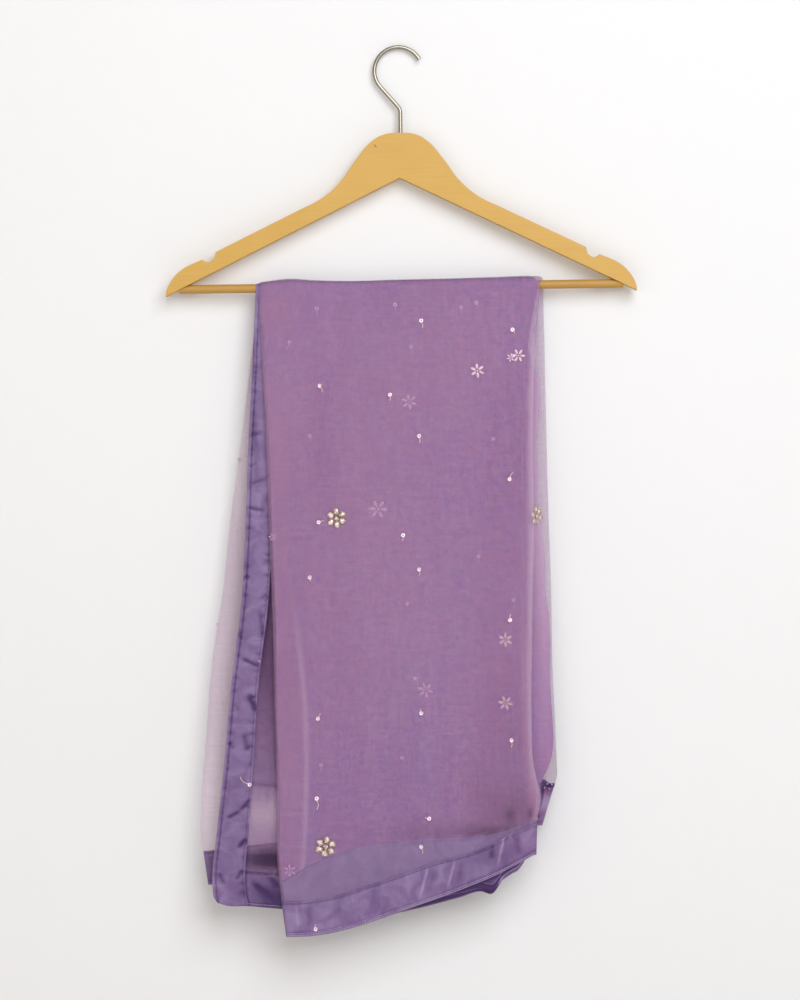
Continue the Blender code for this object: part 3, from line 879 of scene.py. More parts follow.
class TrimKind(Enum):
    """The small things sewn on the cloth, each with its finish."""

    CRYSTAL = Trim("crystal_foiled", "fffaf4", "c9a99c", 0.12, 0.1, 0.6)
    GOLD = Trim("gold_plated_setting", "f8e6c4", "7c5a3e", 0.3, 0.2)
    SEQUIN = Trim("sequin_pearl", "fff2fa", "f2cfe7", 0.2, 0.25, 0.4)
    BEAD = Trim("bead_smoky_lilac", "b9a4bb", "5f4768", 0.25, 0.0, 0.4)
    ZARI = Trim("zari_thread", "fff0ee", "f0cfc6", 0.42, 0.0)
    SOFT_ZARI = Trim("zari_thread_soft", "e6cbdd", "cfa9c1", 0.42, 0.0)
    DULL_ZARI = Trim("zari_thread_under_cloth", "dcb9d8", "c9a3c6", 0.5, 0.0)
    STITCH = Trim("sewing_thread_violet", "5f4670", "50395f", 0.6)
    PALE_STITCH = Trim("sewing_thread_lilac", "c0aed0", "a894bb", 0.5)


# ---------------------------------------------------------------------------------------------------------
# How the cloth hangs


@dataclass(frozen=True)
class Bar:
    """The hanger's bar, which all the cloth hangs over, and the whole hanger's lean."""

    radius: float = 4.2
    drop: float = 224.7
    half_length: float = 210.0
    tilt: float = math.radians(0.8)

    def axis_drop(self, across: Points) -> Points:
        """The drop of the bar's axis at a place along it."""
        return self.drop * math.cos(self.tilt) - across * math.tan(self.tilt)


@dataclass(frozen=True)
class HungStack:
    """How far from the bar's axis each layer lies, on one side of the bar, at a drop below that axis."""

    bow: float
    bundle: float
    bar: Bar = field(default_factory=Bar)
    pressed_bundle: float = 1.8
    pressed_gap: float = 0.35
    loose_gap: float = 0.6
    loose_drop: float = 160.0
    wall: float = 1.0
    bow_length: float = 640.0

    def gap(self, below: Points) -> Points:
        """The gap between layers."""
        return self.pressed_gap + (self.loose_gap - self.pressed_gap) * ease(below / self.loose_drop)

    def end_layer(self, below: Points) -> Points:
        """The middle of the layer next to the bar."""
        bowed = self.bow * np.sin(math.pi * np.clip(below / self.bow_length, 0.0, 1.0))
        return self.bar.radius + self.pressed_gap + self.wall / 2 + bowed

    def bundle_inside(self, below: Points) -> Points:
        """The inner face of the hidden layers."""
        return self.end_layer(below) + self.wall / 2 + self.gap(below)

    def bundle_thickness(self, below: Points) -> Points:
        """The thickness of the hidden layers together."""
        return self.pressed_bundle + (self.bundle - self.pressed_bundle) * ease(below / self.loose_drop)

    def outer_layer(self, below: Points) -> Points:
        """The middle of the outermost layer."""
        outside = self.bundle_inside(below) + self.bundle_thickness(below)
        return outside + self.gap(below) + self.wall / 2


CROWN_LIFTS = table(
    Lift,
    (-136, 0.18), (-124, 0.55), (-105, 1), (-78, 0.62), (-50, 0.38), (0, 0.52), (45, 0.6), (90, 0.78),
    (126, 0.9), (138, 0.75),
)


@dataclass
class Drape:
    """Where the cloth lies: the two stacks of layers, and the change from its coordinates to the frame's."""

    bar: Bar = field(default_factory=Bar)
    front: HungStack = field(default_factory=lambda: HungStack(bow=2.6, bundle=4.4))
    back: HungStack = field(default_factory=lambda: HungStack(bow=1.6, bundle=3.4))
    settle_drop: float = 70.0  # below this the layers no longer follow the bumps over the bar

    def world(self, across: Points, out: Points, below: Points, turn: Points) -> Points:
        """Turns the cloth's coordinates to points in metres.

        Args:
            across: Place along the bar.
            out: Distance from the bar's axis.
            below: Drop below that axis.
            turn: Angle round the bar, 0 on the front and pi on the back.

        Returns:
            Points, in the shape of the arguments with a last axis of 3.
        """
        lift = read_rows(CROWN_LIFTS, "share", across)
        lift = lift + (1.0 - lift) * ease(below / self.settle_drop)
        out = self.bar.radius + (out - self.bar.radius) * lift
        x = across
        y = -out * np.cos(turn)
        z = out * np.sin(turn) - below - self.bar.axis_drop(across)
        return np.stack(np.broadcast_arrays(x, y, z), axis=-1) * MM

    def settle(
        self, sides: Sequence[Side], hem: Sequence[Line], column: Points, share: Points
    ) -> tuple[Points, Points]:
        """Finds places on a layer from how far across and down it they are.

        Args:
            sides: The layer's edges.
            hem: The line that its fall ends at.
            column: The share of the way across.
            share: The share of the way down from the bar's axis to the hem.

        Returns:
            The places across and the drops.
        """
        drop = np.full(np.broadcast(column, share).shape, self.bar.drop)
        across = drop
        for _ in range(8):
            left = read_rows(sides, "left", drop)
            across = left + (read_rows(sides, "right", drop) - left) * column
            axis = self.bar.axis_drop(across)
            drop = axis + (read_rows(hem, "drop", across) - axis) * share
        return across, drop


FRONT_SIDES = table(
    Side,
    (225, -131.6, 134.5), (273, -130, 130.4), (360, -125.4, 128), (450, -122, 128.8), (540, -118.4, 127),
    (635, -116.2, 126.4), (675, -115, 128), (690, -115, 131), (706, -114.8, 135), (728, -114.8, 131.8),
    (765, -114.2, 130.6), (800, -110.8, 129.4), (839, -105.6, 128),
)
BACK_SIDES = table(
    Side,
    (225, -131, 137), (311, -140.7, 138.7), (388, -149.6, 140.3), (441, -157.2, 141.8),
    (512, -164.8, 144.2), (580, -175.2, 145.4), (652, -180.9, 148.6), (677, -183, 149.6),
    (688, -184, 150), (699, -184.8, 147.2), (710, -185.2, 144.8), (720, -185.4, 142.4),
    (729, -185.5, 139.2), (737, -185.6, 135.6), (793, -179, 134),
)
END_EDGES = table(
    EndEdge,
    (225, -134.5, 25), (302, -137.6, 25.2), (376, -141.4, 25.3), (463, -144.4, 25.5), (519, -147.6, 25.6),
    (604, -157.8, 25.8), (688, -165.4, 28.2), (737, -170.8, 29.9), (800, -174.6, 31.3),
    (816, -171.4, 31.5),
)
BUNDLE_BACK_SIDES = table(
    Side,
    (225, -129, 124), (290, -132.4, 126), (304, -133.2, 131.5), (317, -133.8, 135.2), (333, -134.6, 135),
    (355, -136, 132.8), (379, -137.6, 131.2), (393, -138.5, 132.8), (430, -141, 133.2),
    (454, -142.8, 136.2), (484, -144.4, 139.4), (514, -145.8, 140.2), (532, -146.6, 143),
    (559, -148, 144.6), (597, -149.8, 144.4), (645, -151.6, 147.6), (659, -152, 147.6),
    (672, -151.8, 145.4), (681, -151.6, 142.4), (690, -151.4, 138), (735, -151, 134),
)
FRONT_HEM = table(
    Line,
    (-106, 839), (-90, 838.6), (21, 808.7), (63, 793.6), (97, 779.4), (117, 769), (131, 761.4),
)
FRONT_BORDER_TOP = table(
    Line,
    (-112, 806), (-80.5, 804), (-10.4, 784.5), (29.3, 770.6), (92.8, 750.4), (103, 744.6), (133, 731.6),
)
BUNDLE_BORDER_TOP = table(
    Line,
    (-112, 788), (-85.2, 772.8), (-52, 758.6), (20.8, 747.2), (96.6, 740.2), (132, 727.4),
)
BUNDLE_HEM = table(
    Line,
    (-110, 830), (-60, 824), (2, 816.3), (60, 802), (80, 796.5), (91, 798.4), (101, 786), (109, 780.4),
    (116.5, 775.6), (122, 767), (127, 752),
)
BACK_BORDER_TOP = table(
    Line,
    (-184, 760.4), (-40, 742), (131, 706), (137, 700), (142, 692.5), (146, 694), (150, 699),
)
BACK_HEM = table(Line, (-179, 792.6), (-40, 773), (134, 737.6), (143, 731.5))
BUNDLE_BACK_BORDER_TOP = table(Line, (-152, 659), (0, 682), (146, 697))
BUNDLE_BACK_HEM = table(Line, (-152, 697), (0, 718), (140, 731))
END_HEM = table(Line, (-174, 802.5), (-171.5, 806.6), (-167, 808.8), (-140, 811), (-78, 816))

FRONT_SWELLS = table(
    Swell,
    (-92, 1.6, 14, 730, 110), (-20, 0.9, 36, 520, 260), (52, 0.8, 30, 640, 210), (104, 1.4, 22, 470, 260),
)
CORE_INSETS = table(
    Side,
    (225, 1.9, 1.9), (262, 1.9, 5.5), (300, 1.9, 7.5), (560, 1.9, 7), (640, 1.9, 4.5), (700, 1.9, 3),
    (790, 1.9, 2.4),
)
BACK_SWELLS = table(
    Swell,
    (-150, 3, 24, 700, 260), (-96, 1.8, 22, 560, 280), (-10, 2.2, 30, 650, 230), (62, 1.5, 24, 470, 240),
    (132, 2.4, 22, 600, 260),
)
END_SWELLS = table(Swell, (-152, 2.2, 18, 700, 220), (-112, 1.2, 16, 600, 240))

FRONT_CREASES = table(
    Crease,
    (-89.5, 620, -87.8, 775, 1.5, 0.75), (-97, 500, -89, 660, 3, 0.45), (-112, 400, -104, 560, 3.5, 0.4),
    (-60, 250, -64, 470, 7, 0.35), (-118, 232, -92, 262, 4, 0.6), (-100, 240, -72, 250, 4, 0.5),
    (118, 232, 126, 300, 3, 0.7), (119, 260, 120.5, 520, 3, 0.5), (112, 560, 119, 730, 4, 0.5),
    (128, 690, 124, 740, 2.4, 0.5), (98, 640, 108, 742, 6, -0.5), (30, 600, 24, 760, 9, 0.3),
    (-30, 640, -38, 780, 9, 0.3),
)
BACK_CREASES = table(
    Crease,
    (-120, 300, -150, 720, 5, 0.8), (-60, 330, -72, 740, 6, 0.7), (20, 280, 28, 700, 7, -0.5),
    (88, 360, 96, 700, 5, 0.7), (136, 300, 141, 660, 3, 0.6),
)
END_CREASES = table(
    Crease,
    (-144, 368, -126, 363, 2, -0.45), (-141, 413, -124, 407, 2, -0.45),
    (-142, 434.5, -124, 438, 2.2, -0.6), (-148, 504, -140, 498, 2.6, -0.4),
    (-131, 528, -127, 562, 2.6, -0.6), (-152, 552, -147, 560, 2, -0.6),
    (-150, 576, -130, 585.5, 2.2, -0.75), (-143, 609, -132, 631, 3.6, -0.95),
    (-156, 618, -150, 628, 2.6, -0.4), (-146, 645, -142, 668, 3, -0.6), (-160, 655, -156, 664, 2.4, -0.5),
    (-163, 729, -148, 721, 2, -0.75), (-151, 723, -138, 708, 2, -0.7), (-153, 758, -141, 746, 2.2, -0.65),
    (-170, 778, -164, 792, 2.6, -0.6), (-154, 788, -146, 776, 2.2, -0.6), (-136, 330, -134, 420, 3, -0.4),
    (-138.5, 250, -137, 330, 2.2, -0.5), (-141, 786, -113, 812, 3.4, -1.2),
    (-124, 780, -112, 796, 3, -0.8),
)
FRONT_HEM_CREASES = table(
    Crease,
    (103, 744, 96, 774, 1.3, 0.9), (107, 741, 99, 750, 1.2, 0.5), (92, 750, 90, 768, 3, -0.5),
    (56, 764, 47, 796, 1.4, 0.55), (62, 766, 58, 792, 3, -0.35), (30, 770, 20, 806, 1.4, 0.5),
    (38, 774, 28, 800, 3.4, -0.35), (110, 738, 108, 748, 1.4, 0.5), (114, 738, 118, 766, 4, -0.4),
    (-20, 784, -24, 816, 5, -0.3), (-58, 794, -60, 826, 5, -0.25), (-84, 800, -88, 834, 3, -0.3),
    (-99, 806, -97, 834, 1.6, 0.3),
)

PLY_EDGES = table(
    Side,
    (225, -131, 128.5), (300, -125, 124.5), (364, -108.5, 122.5), (502, -100.4, 121.5), (634, -87, 121),
    (690, -86.4, 124), (743, -88, 126), (790, -91, 126),
)
# The front panel's broad changes of colour; its darker rows are mostly painted shade, deepest just above the
# hem and by the right-hand fold.
FRONT_TONES_AND_SHADE = table(
    ToneAndShade,
    (-60, 420, 60, 170, 0.15, 0.03), (20, 560, 60, 150, -0.05, 0.03), (100, 560, 30, 160, 0.2, 0),
    (112, 380, 26, 80, 0, -0.06), (112, 655, 26, 50, 0.05, -0.08), (78, 700, 24, 30, 0.08, -0.09),
    (-69, 379, 16, 80, 0, -0.06), (40, 300, 90, 60, 0.15, 0.03), (10, 480, 110, 260, 0.12, 0.04),
    (112, 720, 30, 24, 0.1, -0.3), (50, 744, 70, 14, 0.1, -0.25), (0, 690, 60, 40, -0.15, -0.02),
    (106, 724, 5, 6, 0, -0.35), (125, 722, 2.6, 5.5, 0, -0.6), (-100, 700, 12, 60, 0.1, 0.06),
    (-90, 740, 20, 50, -0.22, 0), (88, 740, 30, 5, 0, -0.45), (-115, 250, 20, 24, 0.3, 0.04),
    (-105, 330, 22, 60, 0.15, 0.05),
)
# Mostly painted shade on the front border: darker at its right-hand folds and along its lower edge.
HEM_TONES_AND_SHADE = table(
    ToneAndShade,
    (95, 765, 16, 16, 0.1, -0.2), (60, 785, 30, 8, 0, -0.12), (-20, 812, 60, 5, 0, -0.15),
    (80, 764, 34, 12, 0, -0.28), (120, 752, 14, 14, 0.25, -0.05),
)
# Painted light on the sheer layer's back fall: lighter at the far left, at the right and in the gap beside
# the end layer, offsetting the wall's shadow seen through it; one small darker row by the back border's
# corner.
SHEER_BACK_TONES_AND_LIGHT = table(
    ToneAndShade,
    (-165, 660, 30, 330, 0.25, 0.7), (-118, 722, 20, 16, 0.1, 0.5), (143, 400, 11, 300, 0.3, 0.17),
    (151, 678, 7, 30, 0.2, -0.45), (-182, 740, 16, 70, 0.2, 0.6), (-140, 330, 14, 90, 0.1, 0.3),
    (-150, 380, 12, 80, 0.1, 0.75),
)
# Painted light and shade on the end layer's sheer panel: lighter where it hangs clear above the hidden hem, a
# dark band where that hem lies behind it, and painted shade higher up in the gap beside the front fold.
PANEL_LIGHT_AND_SHADE = table(
    ToneAndShade,
    (-118, 724, 30, 14, 0.2, 0.55), (-118, 767, 34, 9, 0, -1.3), (-118, 590, 30, 90, 0, -0.55),
    (-128, 500, 16, 90, 0, -0.5),
)
# Painted shade on the end borders: the hem's part next to the front fold is darkened fully, and the upright
# border a little round its creases.
END_TONES_AND_SHADE = table(
    ToneAndShade,
    (-116, 804, 24, 24, 0, -1), (-146, 560, 12, 110, 0, -0.12), (-156, 720, 18, 80, 0, -0.14),
    (-132, 330, 12, 90, 0, -0.1), (-142, 502, 14, 60, 0, -0.12), (-157, 767, 14, 36, 0, -0.1),
)
# On the hidden layers' back fall: painted shade in the gap at the left, a painted shadow under the knot at
# the right-hand corner, and its right-hand edge lighter and warmer.
HIDDEN_TONES_AND_SHADE = table(
    ToneAndShade,
    (-128, 500, 26, 90, 0, -0.6), (139, 380, 14, 190, 0.3, 0.75), (139, 640, 14, 110, 0.15, 0.12),
    (139.5, 704, 3, 9, 0, -0.9),
)
# On the back border: a painted shadow under the knot at the right-hand corner and painted shade at the left,
# behind the end layer; the tail below the knot is warmer and lighter.
TAIL_TONES_AND_SHADE = table(
    ToneAndShade,
    (139, 724, 16, 14, 0.8, 0.45), (142, 699, 12, 8, 0.8, -0.85), (-178, 776, 14, 26, 0.1, -0.25),
    (-122, 766, 22, 20, 0, -0.9),
)
TAIL_CREASES = table(
    Crease,
    (143.5, 696, 137.4, 732, 0.9, -0.9), (140, 702, 135, 728, 0.8, -0.7), (146, 698, 140, 728, 1, 0.6),
)
# Painted shade on the hidden front hems, which hang below the front border; one lighter row lightens the
# small folded corner.
HEM_STACK_SHADE_AND_TONE = table(ToneAndShade, (40, 800, 90, 26, 0, -1), (86, 795, 10, 4, 0, -1), (98, 788, 2.4, 5, 0, 1.4))


@dataclass(frozen=True)
class Puckering:
    """The small gathers that a tight seam pulls into satin, running in from the seam."""

    seed: int
    spacing: float = 7.0
    reach: float = 9.0
    half_width: float = 1.6
    height: float = 0.3

    def depth(self, along: Points, from_seam: Points) -> Points:
        """How deep the gathers are.

        Args:
            along: Distance along the seam.
            from_seam: Distance from it.

        Returns:
            Their depth at each place, 0 or more.
        """
        random = np.random.default_rng(self.seed)
        start, end = float(np.min(along)), float(np.max(along))
        total = np.zeros(np.broadcast(along, from_seam).shape)
        at = start
        while at < end:
            at += self.spacing * random.uniform(0.45, 1.6)
            slant = random.uniform(-0.7, 0.7)
            reach = self.reach * random.uniform(0.3, 1.3)
            width = self.half_width * random.uniform(0.7, 1.6)
            height = self.height * random.uniform(0.2, 1.3)
            aside = along - at - slant * np.abs(from_seam)
            total += height * bell(aside, width) * bell(from_seam, reach)
        return total


def seam_groove(from_seam: Points, half_width: float = 0.9, depth: float = 0.35) -> Points:
    """The groove that a row of stitches pulls into the cloth, 0 or more."""
    return depth * bell(from_seam, half_width)


def painted_satin_shading(relief: Points, drop: Points, strength: float = 0.55) -> Points:
    """Painted highlight and shade for satin: its ridges and upward slopes are painted lighter, as if lit from
    above, and its troughs darker.

    Args:
        relief: How far each place stands out, in millimetres, on a grid whose rows run up or down the cloth.
        drop: Each place's drop.
        strength: The change for each millimetre of relief.

    Returns:
        The change of lightness at each place: painted highlight above 0, painted shade below.
    """
    rise, step = np.gradient(relief, axis=0), np.gradient(drop, axis=0)
    slope = np.divide(rise, step, out=np.zeros_like(rise), where=step != 0.0)  # level over the bar
    return np.clip(relief * strength + slope * strength * 0.9, -0.95, 0.6)


def panel_tones_and_light(across: Points, drop: Points, sheer: bool) -> tuple[Points, Points]:
    """The front panel's changes of colour and its painted light: broad ones, with painted shade above the
    hem, the paler strips outside the inner plies' edges, painted highlights along the inner plies' left edge
    and inside each folded rim, and the violet of the inner satin borders where only the sheer ply covers
    them.

    Args:
        across: Places across the panel.
        drop: Drops on it.
        sheer: Whether this is the sheer ply, not the plies under it.

    Returns:
        How much warmer and how much lighter each place is; the lightness holds painted light and shade.
    """
    warm, light = toning_and_shading(FRONT_TONES_AND_SHADE, across, drop)
    ply_left = read_rows(PLY_EDGES, "left", drop)
    ply_right = read_rows(PLY_EDGES, "right", drop) - (0.0 if sheer else 4.0)
    outside_left = ease((ply_left - across) / 15.0 + 0.5)
    outside_right = ease((across - ply_right) / 6.0 + 0.5)
    hanging = ease((drop - 250.0) / 60.0)
    low = ease((drop - 480.0) / 120.0)
    light = light + hanging * (0.02 * outside_left + 0.28 * outside_right)
    # painted highlight along the inner plies' left edge, low down
    light = light + 0.26 * low * bell(across - ply_left, 2.2)
    warm = warm + hanging * (0.2 * outside_left + 0.45 * outside_right)
    if sheer:
        on_border = ease((drop - read_rows(BUNDLE_BORDER_TOP, "drop", across)) / 1.4 + 0.5)
        warm = warm * (1.0 - on_border) - 0.4 * on_border
        light = light * (1.0 - on_border) + (0.12 - 0.25 * ease((across - 70.0) / 26.0)) * on_border
        left, right = read_rows(FRONT_SIDES, "left", drop), read_rows(FRONT_SIDES, "right", drop)
        # painted highlight on the folds: a thin line inside the left fold and a broader band inside the right
        # one
        rim = bell(across - left + 3.2, 1.1)
        light = light + hanging * (0.3 * rim + 0.45 * (1.0 - on_border) * ease((across - right + 7.0) / 8.0))
    return warm, light


@dataclass
class OuterLayer:
    """The outermost layer: sheer cloth from the front border over the bar to the back border, folded round
    the hidden layers at the front, with its two satin borders."""

    drape: Drape
    curl_columns: int = 9
    flat_columns: int = 150
    band_columns: int = 250
    fall_rows: int = 100
    crown_rows: int = 18
    band_rows: int = 30
    fold_turn: float = math.radians(118.0)
    wall: float = 0.3
    satin_wall: float = 0.8
    tuck: float = 5.0  # how far the sheer cloth runs on inside the satin border
    seam_inset: float = 2.6  # the stitches' distance from the border's upper edge
    hem_inset: float = 3.2
    crest_turn: float = math.radians(75.0)  # the crest over the bar, where the pressed plies look darker
    crest_width: float = math.radians(22.0)
    pinch: float = 136.0  # where the crest's right end is pinched pale

    def columns(self) -> int:
        """The number of points across the layer."""
        return self.flat_columns + 2 * self.curl_columns + 1

    def flat_share(self) -> Points:
        """The share of the way across the flat for each column; the outer columns lie in the side folds."""
        column = np.arange(self.columns())
        return np.clip((column - self.curl_columns) / self.flat_columns, 0.0, 1.0)

    def surface(
        self, across: Points, drop: Points, turn: Points, lift: Points | float = 0.0
    ) -> tuple[Points, Points]:
        """Places the layer's outer face, with a column for each of its columns.

        Args:
            across: Places across, of the layer's edges in the columns that lie in the folds.
            drop: Drops.
            turn: Angles round the bar.
            lift: How far outside the sheer cloth's face.

        Returns:
            The points in metres, and their places across in millimetres.
        """
        on_back = turn >= math.pi
        unfolding = ease(turn / math.pi)
        below = drop - self.drape.bar.axis_drop(across)
        front, back = self.drape.front, self.drape.back
        thickness = np.where(on_back, back.bundle_thickness(below), front.bundle_thickness(below))
        gap = np.where(on_back, back.gap(below), front.gap(below))
        out = np.where(on_back, back.outer_layer(below), front.outer_layer(below))
        radius = thickness / 2 + gap + front.wall / 2
        bend = (1.0 - unfolding) / radius
        fold_width = curl(np.minimum(math.pi / 2 * radius, math.pi / 2 / np.maximum(bend, 1e-6)), bend)[0]
        column = np.arange(self.columns())
        from_left = column - self.curl_columns
        from_right = self.curl_columns + self.flat_columns - column
        folded = np.maximum(np.maximum(-from_left, -from_right), 0) / self.curl_columns
        across = across + fold_width * (1.0 - 2.0 * self.flat_share())
        reach, turned_in = curl(folded * radius * self.fold_turn, bend)
        across = across + np.where(from_right < 0, reach, -reach)
        shape = np.where(
            on_back,
            swelling(BACK_SWELLS, across, drop) + creasing(BACK_CREASES, across, drop),
            swelling(FRONT_SWELLS, across, drop) + creasing(FRONT_CREASES, across, drop),
        )
        loose = ease(below / front.loose_drop)
        out = out + 0.25 + lift + shape * loose * (1.0 - folded) - turned_in
        return self.drape.world(across, out, below, turn), across

    def sheer(self) -> Sheet:
        """Lays out the sheer cloth, from the front border over the bar to the back one.

        Returns:
            Its grid.
        """
        drape = self.drape
        front_top = tuple(row._replace(drop=row.drop + self.tuck) for row in FRONT_BORDER_TOP)
        back_top = tuple(row._replace(drop=row.drop + self.tuck) for row in BACK_BORDER_TOP)
        share = self.flat_share()[None, :]
        falling = np.linspace(1.0, 0.0, self.fall_rows)[:, None]
        front_across, front_drop = drape.settle(FRONT_SIDES, front_top, share, falling)
        back_across, back_drop = drape.settle(BACK_SIDES, back_top, share, falling[::-1])
        turns = np.linspace(0.0, math.pi, self.crown_rows + 2)[1:-1, None]
        over = front_across[-1] + (back_across[0] - front_across[-1]) * ease(turns / math.pi)
        across = np.concatenate([front_across, over, back_across])
        drop = np.concatenate([front_drop, drape.bar.axis_drop(over), back_drop])
        turn = np.concatenate([np.zeros_like(falling), turns, np.full_like(falling, math.pi)])
        points, real_across = self.surface(across, drop, turn)
        rise = np.concatenate([-drop[: self.fall_rows], np.zeros_like(over), drop[-self.fall_rows :]])
        warm, light = panel_tones_and_light(real_across, drop, True)
        on_front = turn < 1e-6
        from_left = real_across - real_across.min(1, keepdims=True)
        edge = np.minimum(from_left, real_across.max(1, keepdims=True) - real_across)
        back_warm, back_light = toning_and_shading(SHEER_BACK_TONES_AND_LIGHT, real_across, drop)
        back_light = back_light - 0.25 * ease((3.0 - edge) / 0.8)  # the turned-over edge is two plies thick
        crown = bell(turn - self.crest_turn, self.crest_width)
        back_light = back_light - 0.6 * crown + 1.4 * crown * bell(real_across - self.pinch, 2.4)
        warm = np.where(on_front, warm, back_warm)
        return Sheet(points, real_across, rise, warm, np.where(on_front, light, back_light))

    def band(
        self,
        sides: Sequence[Side],
        top: Sequence[Line],
        hem: Sequence[Line],
        turn: float,
        creases: Sequence[Crease],
        tones_and_shade: Sequence[ToneAndShade],
        gathers: float,
        seed: int,
    ) -> Sheet:
        """A satin border's grid, puckered along its seam and its hem.

        Args:
            sides: The layer's edges on this side of the bar.
            top: The border's upper edge.
            hem: Its lower edge.
            turn: 0 on the front and pi on the back.
            creases: The main creases in it.
            tones_and_shade: Its broad changes of colour, and its painted shade.
            gathers: The height of the small gathers.
            seed: For the small gathers.

        Returns:
            The grid.
        """
        drape = self.drape
        share = self.flat_share()[None, :]
        upper_across, upper = drape.settle(sides, top, share, np.ones((1, 1)))
        lower_across, lower = drape.settle(sides, hem, share, np.ones((1, 1)))
        up = np.linspace(0.0, 1.0, self.band_rows)[:, None]
        if turn > 0.0:
            up = up[::-1]
        across = lower_across + (upper_across - lower_across) * up
        drop = lower + (upper - lower) * up
        from_top = drop - upper
        from_hem = lower - drop
        from_seam, from_hem_seam = from_top - self.seam_inset, from_hem - self.hem_inset
        depth = Puckering(seed, height=gathers).depth(across, from_seam)
        depth += Puckering(seed + 1, spacing=9.0, reach=7.0, height=gathers).depth(across, from_hem_seam)
        relief = creasing(creases, across, drop) - depth - seam_groove(from_seam) - seam_groove(from_hem_seam)
        lift = 0.6 + (relief - 0.3 * bell(from_top, 0.8) - 0.3 * bell(from_hem, 0.8)) * 0.8
        points, real_across = self.surface(across, drop, np.full_like(across, turn), lift)
        warm, light = toning_and_shading(tones_and_shade, real_across, drop)
        # painted highlight on the puckers' ridges and upward slopes, painted shade in their troughs
        light = light + painted_satin_shading(relief, drop, 0.9)
        # a paler line along the hem, and painted shade along the upper edge
        light = light + 0.25 * bell(from_hem, 0.9) - 0.12 * bell(from_top, 1.3)
        return Sheet(points, real_across, drop, warm, light)

    def build(self, sheer: Material, satin: Material) -> list[Piece]:
        """Builds the layer and its borders.

        Args:
            sheer: The sheer cloth's material.
            satin: The borders' material.

        Returns:
            The sheer cloth, the front border and the back border.
        """
        fine = replace(self, flat_columns=self.band_columns)
        front_band = fine.band(
            FRONT_SIDES, FRONT_BORDER_TOP, FRONT_HEM, 0.0, FRONT_HEM_CREASES, HEM_TONES_AND_SHADE, 0.14, 11
        )
        back_band = fine.band(
            BACK_SIDES, BACK_BORDER_TOP, BACK_HEM, math.pi, TAIL_CREASES, TAIL_TONES_AND_SHADE, 0.3, 23
        )
        cloth = sheet_object("outer_layer_sheer", [self.sheer()], self.wall, sheer)
        front = sheet_object("front_border_satin", [front_band], self.satin_wall, satin)
        back = sheet_object("back_border_satin", [back_band], self.satin_wall, satin)
        return [
            stand_in(cloth, "outer_layer"),
            stand_in(front, "front_hem"),
            stand_in(back, "back_hem"),
        ]


